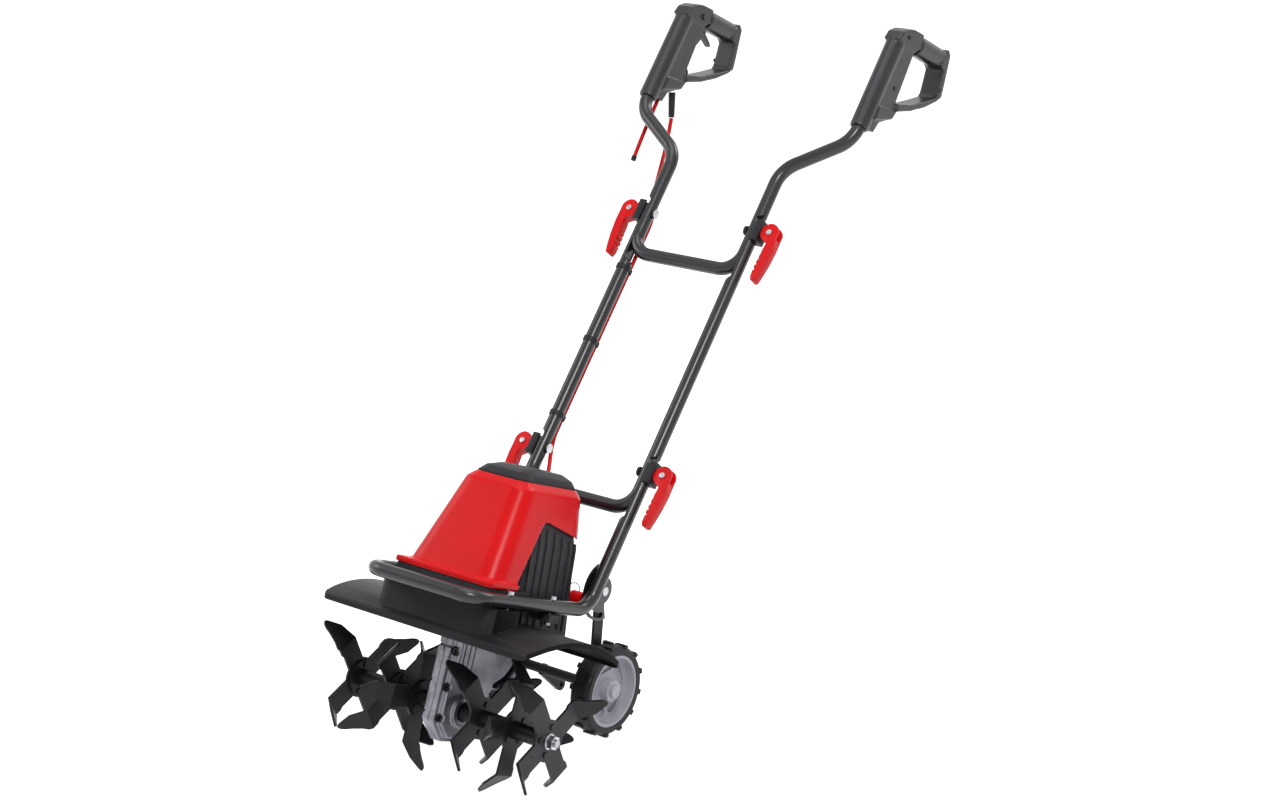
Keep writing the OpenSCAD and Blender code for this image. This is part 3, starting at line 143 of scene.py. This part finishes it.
FLOOR_HALF, FLOOR_DROP = 12.0, 0.0004
floor_mesh = bpy.data.meshes.new("floor")
plane = bmesh.new()
bmesh.ops.create_grid(plane, x_segments=1, y_segments=1, size=FLOOR_HALF)
bmesh.ops.translate(plane, verts=plane.verts, vec=(0, 0, cad_box[0].z - FLOOR_DROP))
plane.to_mesh(floor_mesh)
plane.free()
floor = bpy.data.objects.new("floor", floor_mesh)
bpy.context.scene.collection.objects.link(floor)
paper = bpy.data.materials.new("white paper floor")
paper.use_nodes = True
paper.node_tree.nodes.clear()
matt = add_node(paper.node_tree, "ShaderNodeBsdfDiffuse", {"Color": linear("#f2f2f2")})
glow = add_node(paper.node_tree, "ShaderNodeEmission", {"Color": linear("#ffffff"), "Strength": 0.93})
both = add_node(paper.node_tree, "ShaderNodeAddShader", {}, [(0, matt.outputs[0]), (1, glow.outputs[0])])
add_node(paper.node_tree, "ShaderNodeOutputMaterial", {}, [
    ("Surface", white_to_the_eye(paper.node_tree, matt.outputs[0], both.outputs[0]))])
floor_mesh.materials.append(paper)
floor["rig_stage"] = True

# Each lamp: where it hangs, its power in watts and the width of its square in metres
LAMP_AIM = Vector((0, 0, 0.45))
LAMPS = (
    ("key lamp", (1.7, -1.7, 3.0), 46.0, 0.9),
    ("left lamp", (-2.6, -1.2, 1.9), 16.0, 1.4),
    ("back lamp", (0.8, 2.6, 2.4), 26.0, 1.4),
    ("top lamp", (0.0, 0.0, 3.2), 18.0, 1.6),
)
for lamp_name, place, watts, size in LAMPS:
    lamp = bpy.data.objects.new(lamp_name, bpy.data.lights.new(lamp_name, "AREA"))
    lamp.data.energy = watts
    lamp.data.size = size
    lamp.location = place
    lamp.rotation_mode = "QUATERNION"
    lamp.rotation_quaternion = (LAMP_AIM - lamp.location).to_track_quat("-Z", "Y")
    bpy.context.scene.collection.objects.link(lamp)

# ---- Leads
# Rubber-sheathed flex, 7 mm thick and moulded in red. The mains lead hangs from the left grip, and the
# motor lead runs from the same grip down the back of the left legs, held by clips, into the motor cover.
LEAD_R = 0.0035
LEAN = math.radians(22.5)
HANDLE = math.radians(49.1)
ORIGIN_Y, AXLE_H = 0.46601, 0.09835
ALONG = Vector((0, math.cos(HANDLE), math.sin(HANDLE)))
ACROSS = Vector((0, math.sin(HANDLE), -math.cos(HANDLE)))
REAR_BEND = Vector((0, 0.19728 - ORIGIN_Y, 0.11907 + AXLE_H))


def on_handle(x, n, s):
    """A point in metres beside the handle: x to the right, n behind it and s along it from the rear bend."""
    return Vector((x, 0, 0)) + REAR_BEND + ACROSS * n + ALONG * s


def from_tines(points):
    """Points given in millimetres from the middle of the tine shaft, in the object's frame."""
    return [Vector((x / 1000, y / 1000 - ORIGIN_Y, z / 1000 + AXLE_H)) for x, y, z in points]


def finish(name, dark, light, patch_mm, rough, grain_mm, bump, metallic=0.0, shine=0.5):
    """A surface whose colour and roughness drift over patches, under a fine grain. Sizes are in mm."""
    material = bpy.data.materials.new(name)
    material.use_nodes = True
    tree = material.node_tree
    tree.nodes.clear()
    place = add_node(tree, "ShaderNodeTexCoord", {})
    patches = add_node(tree, "ShaderNodeTexNoise", {
        "Scale": 1000 / patch_mm, "Detail": 4.0, "Roughness": 0.6,
    }, [("Vector", place.outputs["Object"])])
    shade = add_node(tree, "ShaderNodeValToRGB", {}, [("Fac", patches.outputs["Fac"])])
    shade.color_ramp.elements[0].position = 0.35
    shade.color_ramp.elements[0].color = linear(dark)
    shade.color_ramp.elements[1].position = 0.65
    shade.color_ramp.elements[1].color = linear(light)
    gloss = add_node(tree, "ShaderNodeMapRange", {"To Min": rough[0], "To Max": rough[1]},
                     [("Value", patches.outputs["Fac"])])
    grain = add_node(tree, "ShaderNodeTexNoise", {"Scale": 1000 / grain_mm, "Detail": 2.0},
                     [("Vector", place.outputs["Object"])])
    relief = add_node(tree, "ShaderNodeBump", {"Strength": bump, "Distance": grain_mm / 4000},
                      [("Height", grain.outputs["Fac"])])
    body = add_node(tree, "ShaderNodeBsdfPrincipled", {
        "Metallic": metallic, "Specular IOR Level": shine,
    }, [("Base Color", shade.outputs["Color"]), ("Roughness", gloss.outputs["Result"]),
        ("Normal", relief.outputs["Normal"])])
    add_node(tree, "ShaderNodeOutputMaterial", {}, [("Surface", body.outputs[0])])
    return material


def dress(material, *names):
    """Gives CAD nodes their finish."""
    for name in names:
        for place in nodes[name].material_slots:
            place.material = material


# Extruded rubber is matt, with a faint even grain
red_rubber = finish("red rubber sheath", "#c4060f", "#d40b14", 40, (0.42, 0.5), 0.8, 0.15, shine=0.2)
black_rubber = finish("black rubber", "#0e0e0f", "#161618", 30, (0.5, 0.62), 0.8, 0.2, shine=0.2)


def lead(name, points, material):
    """A round lead as a mesh tube along a smooth curve through the points."""
    curve = bpy.data.curves.new(name, "CURVE")
    curve.dimensions = "3D"
    spline = curve.splines.new("NURBS")
    spline.points.add(len(points) - 1)
    for point, place in zip(spline.points, points):
        point.co = (*place, 1.0)
    spline.order_u = 4
    spline.use_endpoint_u = True
    curve.resolution_u = 4
    curve.bevel_depth = LEAD_R
    curve.bevel_resolution = 4
    curve.use_fill_caps = True
    maker = bpy.data.objects.new(name + " curve", curve)
    bpy.context.scene.collection.objects.link(maker)
    bpy.context.view_layer.update()
    mesh = bpy.data.meshes.new_from_object(maker.evaluated_get(bpy.context.evaluated_depsgraph_get()))
    bpy.data.objects.remove(maker)
    mesh.materials.clear()
    mesh.materials.append(material)
    mesh.name = name
    piece = bpy.data.objects.new(name, mesh)
    bpy.context.scene.collection.objects.link(piece)
    for face in mesh.polygons:
        face.use_smooth = True
    return piece


# The lane beside the left legs, and where its end clips sit along them
LANE_X, LANE_N = -0.103, 0.015
TOP_CLIP, LOW_CLIP = 0.5667, 0.2947
TOP_STEP, LANE_STEP, LOW_STEP = 0.023, 0.034, 0.015
UPPER_ROUTE = from_tines([
    (-207, 838, 739), (-204, 828, 719), (-197, 811, 702), (-186, 789, 688), (-172, 762, 676),
    (-157, 734, 665), (-142, 706, 655), (-128, 683, 645), (-116, 665, 632), (-108, 652, 619)])
LOWER_ROUTE = from_tines([
    (-102, 378, 304), (-97, 365, 291), (-88, 351, 282), (-76, 334, 277), (-62, 314, 275), (-48, 292, 268),
    (-37, 271, 259), (-31, 253, 253), (-30, 236, 255)])
upper_lead = lead("upper_motor_lead", UPPER_ROUTE + [
    on_handle(LANE_X, LANE_N, TOP_CLIP + k * TOP_STEP) for k in (4, 3, 2, 1, 0)], red_rubber)
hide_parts("motor_lead_upper")
middle_lead = lead("middle_motor_lead", [
    on_handle(LANE_X, LANE_N, TOP_CLIP - k * LANE_STEP) for k in range(9)], red_rubber)
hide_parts("motor_lead_middle")
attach(middle_lead, "middle_frame")
lower_lead = lead("lower_motor_lead", [
    on_handle(LANE_X, LANE_N, LOW_CLIP - k * LOW_STEP) for k in range(3)] + LOWER_ROUTE, red_rubber)
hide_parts("motor_lead_lower")
# Each fold turns at its clamp bolt; BEND_REACH is a length of lead on both sides of a bolt
UPPER_BOLT, LOWER_BOLT, BEND_REACH = 0.6707, 0.2357, 0.03
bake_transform(upper_lead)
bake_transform(lower_lead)

GRIP_X, GRIP_S = 0.2108, 0.8817
MAINS_N, MAINS_T, MAINS_L, MAINS_SWING, MAINS_STEPS = 0.028, 0.036, 0.132, 0.4, 24
mains_points = []
for k in range(MAINS_STEPS + 1):
    down = MAINS_L * k / MAINS_STEPS
    mains_points.append(on_handle(-GRIP_X, MAINS_N + MAINS_SWING * down ** 2, GRIP_S + MAINS_T - down))
mains_lead = lead("mains_lead_sheath", mains_points, red_rubber)
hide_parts("mains_lead")
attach(mains_lead, "upper_frame")

# ---- Handle and lower frame tubes
# Round steel tube 22 mm thick with a 1.5 mm wall, bent cold and powder coated in a dark grey gloss. Where
# two lengths lap they are pressed half flat and bolted through.
# Powder coat flows almost smooth, which leaves a faint orange peel and clear, soft highlights
tube_paint = finish("dark grey powder coat", "#1d1d20", "#252528", 90, (0.2, 0.27), 1.6, 0.08, shine=0.5)
dress(tube_paint, "lower_frame", "middle_frame", "upper_frame", "wheel_brackets")


def new_piece(name, shape, material, smooth_over=35):
    """Makes an object of a bmesh, with its finish and with soft shading over small angles."""
    mesh = bpy.data.meshes.new(name)
    shape.to_mesh(mesh)
    shape.free()
    mesh.materials.append(material)
    mesh.shade_smooth()
    mesh.set_sharp_from_angle(angle=math.radians(smooth_over))
    piece = bpy.data.objects.new(name, mesh)
    bpy.context.scene.collection.objects.link(piece)
    return piece


def stand_in(node, shape, material, smooth_over=35):
    """Makes a bmesh the piece that stands for a CAD node, with the given finish and the node's body."""
    piece = new_piece(node + "_body", shape, material, smooth_over)
    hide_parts(node)
    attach(piece, nodes[node]["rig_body"])
    return piece


def softened(node, material, round_mm, least_edge=2.0, angle=28):
    """Stands for a CAD node: a copy with its sharp edges rounded, as a mould or a press leaves them."""
    shape = bmesh.new()
    shape.from_mesh(nodes[node].data)
    bmesh.ops.remove_doubles(shape, verts=shape.verts, dist=0.00001)
    bmesh.ops.dissolve_limit(shape, angle_limit=math.radians(0.6), verts=shape.verts, edges=shape.edges,
                             use_dissolve_boundaries=False)
    sharp = [edge for edge in shape.edges
             if len(edge.link_faces) == 2 and edge.calc_face_angle(0) > math.radians(angle)
             and edge.calc_length() > least_edge * round_mm / 1000]
    bmesh.ops.bevel(shape, geom=sharp, offset=round_mm / 1000, offset_type="OFFSET", affect="EDGES",
                    segments=2, profile=0.5, material=-1, clamp_overlap=False)
    return stand_in(node, shape, material)


# Satin black powder coat over sheet steel, with a coarser peel than the tubes
deck_paint = finish("satin black powder coat", "#151517", "#1e1e20", 80, (0.42, 0.52), 2.0, 0.15, shine=0.2)
dress(deck_paint, "wheel_carriage")
deck_body = softened("deck", deck_paint, 1.2)
# Painted shade: the underside and the turned-down ends get a matt near-black finish that stands for the
# shade falling under the deck
SIDE_ON = 0.8
painted_deck_shade = finish("black underseal", "#040405", "#080809", 30, (0.6, 0.75), 1.5, 0.3, shine=0.1)
deck_body.data.materials.append(painted_deck_shade)
# Faces turned towards the shaft, or out to the sides, get the painted shade
for face in deck_body.data.polygons:
    from_shaft = face.center - Vector((face.center.x, -ORIGIN_Y, AXLE_H))
    if face.normal.dot(from_shaft) < 0 or abs(face.normal.x) > SIDE_ON:
        face.material_index = 1

# ---- Motor housing
# One moulding of glass-filled nylon that carries the motor and its bearings; it is bolted to the rails.
# Glass-filled nylon is matt and slightly mottled
housing_nylon = finish("black glass-filled nylon", "#29292c", "#343438", 30, (0.48, 0.6), 1.0, 0.3,
                       shine=0.2)
dress(housing_nylon, "motor_housing")
LEANED = Matrix.Translation((0, -ORIGIN_Y, AXLE_H)) @ Matrix.Rotation(-LEAN, 4, "X") @ Matrix.Scale(0.001, 4)
# Height and half width of the housing at three levels, in its own leaned millimetres
HOUSING_FOOT, HOUSING_WAIST, HOUSING_TOP = (118.0, 86.0), (270.0, 73.0), (335.0, 60.0)


def bevel_all(shape, width):
    """Rounds every edge of a bmesh by the same width."""
    bmesh.ops.bevel(shape, geom=shape.edges[:], offset=width, offset_type="OFFSET", affect="EDGES",
                    segments=2, profile=0.5, material=-1)


def join(whole, part):
    """Adds one bmesh to another and frees it."""
    carrier = bpy.data.meshes.new("carrier")
    part.to_mesh(carrier)
    part.free()
    whole.from_mesh(carrier)
    bpy.data.meshes.remove(carrier)


def housing_side(z):
    """Half the housing's width at a height, in its own leaned millimetres."""
    low, high = (HOUSING_FOOT, HOUSING_WAIST) if z < HOUSING_WAIST[0] else (HOUSING_WAIST, HOUSING_TOP)
    return low[1] + (z - low[0]) / (high[0] - low[0]) * (high[1] - low[1])


# Where each rib stands, its width, and its lowest and highest point
HOUSING_RIBS = ((8, 5, 146, 256), (26, 7, 150, 288), (44, 9, 150, 296), (64, 9, 150, 292), (84, 9, 150, 287),
                (103, 8, 148, 283), (114.5, 5, 146, 280))
RIB_PROUD, RIB_SUNK, RIB_ROUND = 2.0, 1.5, 0.7
ribs = bmesh.new()
for side in (-1, 1):
    for rib_y, rib_w, low, high in HOUSING_RIBS:
        rib = bmesh.new()
        bmesh.ops.create_cube(rib, size=1.0)
        bmesh.ops.scale(rib, verts=rib.verts, vec=(1, rib_w, high - low))
        bmesh.ops.translate(rib, verts=rib.verts, vec=(0, rib_y, (low + high) / 2))
        bmesh.ops.bisect_plane(rib, geom=rib.verts[:] + rib.edges[:] + rib.faces[:],
                               plane_co=(0, 0, HOUSING_WAIST[0]), plane_no=(0, 0, 1))
        for corner in rib.verts:
            out = RIB_PROUD if corner.co.x > 0 else -RIB_SUNK
            corner.co.x = side * (housing_side(corner.co.z) + out)
        bmesh.ops.recalc_face_normals(rib, faces=rib.faces)
        bevel_all(rib, RIB_ROUND)
        join(ribs, rib)
bmesh.ops.transform(ribs, matrix=LEANED, verts=ribs.verts)
bmesh.ops.recalc_face_normals(ribs, faces=ribs.faces)
housing_ribs = new_piece("housing_ribs", ribs, housing_nylon)
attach(housing_ribs, "machine")

# ---- Motor cover and cap
# Red ABS hood over the motor, glossy from a polished mould, with a satin black cap clipped to its top.
# Polished ABS shows sharp highlights and almost no grain
red_abs = finish("red gloss ABS", "#de050d", "#e80910", 120, (0.24, 0.32), 1.2, 0.04, shine=0.2)


def moulded(node, material, cell_mm, passes):
    """Stands for a CAD node: rebuilt from small even cells and smoothed, so that every edge rounds off."""
    whole = bpy.data.objects.new(node + " whole", nodes[node].data)
    bpy.context.scene.collection.objects.link(whole)
    cells = whole.modifiers.new("cells", "REMESH")
    cells.mode = "VOXEL"
    cells.voxel_size = cell_mm / 1000
    bpy.context.view_layer.update()
    shape = bmesh.new()
    shape.from_object(whole, bpy.context.evaluated_depsgraph_get())
    bpy.data.objects.remove(whole)
    for _ in range(passes):
        bmesh.ops.smooth_vert(shape, verts=shape.verts, factor=0.5, use_axis_x=True, use_axis_y=True,
                              use_axis_z=True)
    return stand_in(node, shape, material, smooth_over=60)


moulded("motor_cover", red_abs, 1.5, 8)
black_abs = finish("black satin ABS", "#222225", "#2b2b2e", 60, (0.42, 0.5), 1.0, 0.15, shine=0.2)
dress(black_abs, "brush_holders", "cooling_fan")
softened("motor_cap", black_abs, 1.6)

# ---- Motor
# Laminated steel stator and a wound armature on a ground shaft that carries the worm.
# Varnished laminations are dull grey, and the windings show the brown of enamelled wire
core_steel = finish("varnished laminations", "#4d4c50", "#6a696d", 10, (0.4, 0.55), 0.7, 0.4, metallic=0.8)
dress(core_steel, "stator")
enamelled_wire = finish("enamelled copper wire", "#5a2f18", "#8a4c26", 6, (0.3, 0.45), 0.9, 0.6,
                        metallic=0.6)
dress(enamelled_wire, "armature")
ground_steel = finish("ground steel", "#8f8f94", "#a9a9ad", 14, (0.2, 0.34), 0.6, 0.1, metallic=1.0)
dress(ground_steel, "motor_shaft", "worm", "ball_bearings", "tine_shaft")

# ---- Gear case
# Two die-cast aluminium halves bolted together round the worm and its wheel, left bare.
# Bare die casting has a fine skin with slightly darker, duller patches
die_cast = finish("bare die-cast aluminium", "#807c85", "#9c98a1", 26, (0.34, 0.5), 1.1, 0.45, metallic=0.75)
for half in ("gear_case_left", "gear_case_right"):
    moulded(half, die_cast, 1.2, 3)
CASE_X, FIN_SUNK, FIN_PROUD, FIN_ROUND = 19.0, 1.0, 1.8, 0.8
# Each fin of the neck: where it stands, its width, and its lowest and highest point
NECK_FINS = ((-30, 3, 50, 112), (-22, 3, 44, 116), (-9, 4, 48, 120), (2, 3, 56, 122))
fins = bmesh.new()
for side in (-1, 1):
    for fin_y, fin_w, low, high in NECK_FINS:
        fin = bmesh.new()
        bmesh.ops.create_cube(fin, size=1.0)
        bmesh.ops.scale(fin, verts=fin.verts, vec=(FIN_PROUD + FIN_SUNK, fin_w, high - low))
        bmesh.ops.translate(fin, verts=fin.verts, vec=(
            side * (CASE_X + (FIN_PROUD - FIN_SUNK) / 2), fin_y, (low + high) / 2))
        bevel_all(fin, FIN_ROUND)
        join(fins, fin)
bmesh.ops.transform(fins, matrix=LEANED, verts=fins.verts)
bmesh.ops.recalc_face_normals(fins, faces=fins.faces)
neck_fins = new_piece("neck_fins", fins, die_cast)
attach(neck_fins, "machine")
bronze = finish("cast bronze", "#8a6a34", "#a98445", 20, (0.3, 0.45), 1.0, 0.3, metallic=1.0)
dress(bronze, "worm_wheel")
# Socket screws are blackened, which leaves a dark metal with a low sheen
blackened = finish("blackened steel", "#1b1b1d", "#2a2a2d", 12, (0.3, 0.42), 0.7, 0.2, metallic=0.6)
# The guard rim, a dark band along the edge of the case web, is given this dark finish too
dress(blackened, "case_screws", "case_guard_rim", "grip_screws")
dress(black_rubber, "shaft_seals", "lead_cap")

# ---- Tines
# Star blades stamped from 4 mm steel plate, bent at the arms, riveted to hubs on the through shaft.
# Black electrocoat is satin, and soil rubs it thin to dark steel
electrocoat = finish("black electrocoated steel", "#141416", "#202024", 24, (0.36, 0.5), 1.3, 0.3,
                     shine=0.25)
dress(electrocoat, "star_left_outer", "star_left_middle", "star_left_inner", "star_right_inner",
      "star_right_middle", "star_right_outer", "hub_sleeves", "tine_rivets")

# ---- Bolts and nuts
# Plain hexagon and dome head fasteners, zinc plated.
# Bright zinc is a pale metal with cloudy patches
zinc = finish("bright zinc plate", "#a3a3a8", "#c2c2c6", 8, (0.24, 0.4), 0.7, 0.15, metallic=1.0)
dress(zinc, "frame_bolts", "shaft_nuts")
RIM_ANGLE = 1.0


def discs(name, material, rides, places, radius, thick, axis):
    """Low domes as one piece: each is a short cylinder with its outer edge rounded, set at a point."""
    shape = bmesh.new()
    for place, outward in places:
        turn = Vector((0, 0, 1)).rotation_difference(axis * outward).to_matrix().to_4x4()
        dome = bmesh.new()
        bmesh.ops.create_cone(dome, cap_ends=True, segments=32, radius1=radius, radius2=radius, depth=thick,
                              matrix=Matrix.Translation(place) @ turn)
        rims = [edge for edge in dome.edges
                if len(edge.link_faces) == 2 and edge.calc_face_angle(0) > RIM_ANGLE]
        bmesh.ops.bevel(dome, geom=rims, offset=thick * 0.4, offset_type="OFFSET", affect="EDGES",
                        segments=3, profile=0.5, material=-1)
        join(shape, dome)
    piece = new_piece(name, shape, material)
    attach(piece, rides)
    return piece


# The pins that the cam levers turn on: where their ends lie, and the radius and height of an end
PIN_X, PIN_END_N, PIN_END_R, PIN_END_T = 0.1397, 0.0104, 0.0048, 0.0022
for node, bolt_s in (("lower_clamps", LOWER_BOLT), ("upper_clamps", UPPER_BOLT)):
    discs(node + "_pin_ends", zinc, nodes[node]["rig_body"],
          [(on_handle(side * PIN_X, n * PIN_END_N, bolt_s), n) for side in (-1, 1) for n in (-1, 1)],
          PIN_END_R, PIN_END_T, ACROSS)
# Between these planes lie the moulded saddles, and beyond them the bolts
INNER_FACE_X, OUTER_FACE_X = 0.0895, 0.1285
for clamps in ("lower_clamps", "upper_clamps"):
    clamp_body = softened(clamps, black_abs, 0.5)
    clamp_body.data.materials.append(zinc)
    for face in clamp_body.data.polygons:
        if abs(face.center.x) < INNER_FACE_X or abs(face.center.x) > OUTER_FACE_X:
            face.material_index = 1
dress(deck_paint, "wheel_axle")

# ---- Transport wheels
# Moulded grey polypropylene rims with hard rubber tyres pressed on, turning on the ends of one axle.
# Polypropylene is pale, slightly waxy and evenly coloured
rim_plastic = finish("grey polypropylene", "#a9a6b0", "#b8b5bf", 50, (0.34, 0.44), 1.0, 0.12)
dress(rim_plastic, "axle_caps")
for rim in ("left_rim", "right_rim"):
    softened(rim, rim_plastic, 0.8)
tyre_rubber = finish("black tyre rubber", "#151516", "#202022", 24, (0.55, 0.72), 1.2, 0.4, shine=0.3)
dress(tyre_rubber, "left_tyre", "right_tyre")

# ---- Levers and lock knobs
# Red nylon cam levers that clamp the laps of the handle, and red knobs on the wheel lock pins.
red_nylon = finish("red moulded nylon", "#da050d", "#e6090f", 40, (0.34, 0.44), 0.9, 0.15, shine=0.25)
for lever in ("lower_left_lever", "lower_right_lever", "upper_left_lever", "upper_right_lever"):
    softened(lever, red_nylon, 0.7)
dress(red_nylon, "left_lock_knob", "right_lock_knob")
# A wire ring through the end of each lock knob, to pull it by
KNOB_END_X, KNOB_Y, KNOB_TOP_Z = 0.0685, 0.2145, 0.1375
LOCK_RING_R, WIRE_R, RING_SUNK, RING_TILT = 0.0085, 0.0008, 0.0045, math.radians(20)
for side, side_name in ((-1, "left"), (1, "right")):
    ring = bmesh.new()
    wire = bmesh.ops.create_circle(ring, segments=10, radius=WIRE_R)["verts"]
    bmesh.ops.rotate(ring, verts=wire, cent=(0, 0, 0), matrix=Matrix.Rotation(math.pi / 2, 3, "X"))
    bmesh.ops.translate(ring, verts=wire, vec=(LOCK_RING_R, 0, 0))
    bmesh.ops.spin(ring, geom=ring.verts[:] + ring.edges[:], cent=(0, 0, 0), axis=(0, 0, 1),
                   angle=2 * math.pi, steps=40, use_merge=True)
    ring_z = KNOB_TOP_Z + AXLE_H + LOCK_RING_R - RING_SUNK
    stand = Matrix.Translation((side * KNOB_END_X, KNOB_Y - ORIGIN_Y, ring_z))
    turn = Matrix.Rotation(side * RING_TILT, 4, "Z") @ Matrix.Rotation(math.pi / 2, 4, "X")
    bmesh.ops.transform(ring, verts=ring.verts, matrix=stand @ turn)
    bmesh.ops.recalc_face_normals(ring, faces=ring.faces)
    lock_ring = new_piece(side_name + "_lock_ring", ring, blackened)
    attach(lock_ring, nodes[side_name + "_lock_knob"]["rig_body"])

# ---- Grips
# Each grip is two moulded halves screwed together round the end of the tube. The left one holds the
# switch, its trigger and the leads.
# Spark-eroded mould texture gives the grips a fine matt grain
grip_plastic = finish("dark grey textured polypropylene", "#212124", "#2b2b2f", 35, (0.27, 0.34), 0.9, 0.2,
                      shine=0.45)
for grip in ("left_grip", "right_grip"):
    moulded(grip, grip_plastic, 1.1, 10)
dress(black_abs, "switch_body", "strain_relief", "cable_clips")
trigger_plastic = finish("grey moulded acetal", "#3d3d41", "#49494e", 30, (0.3, 0.4), 0.9, 0.1, shine=0.3)
dress(trigger_plastic, "trigger", "lock_button")

size = {"cad": [list(corner) for corner in cad_box], "visual": [list(corner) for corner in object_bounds()]}
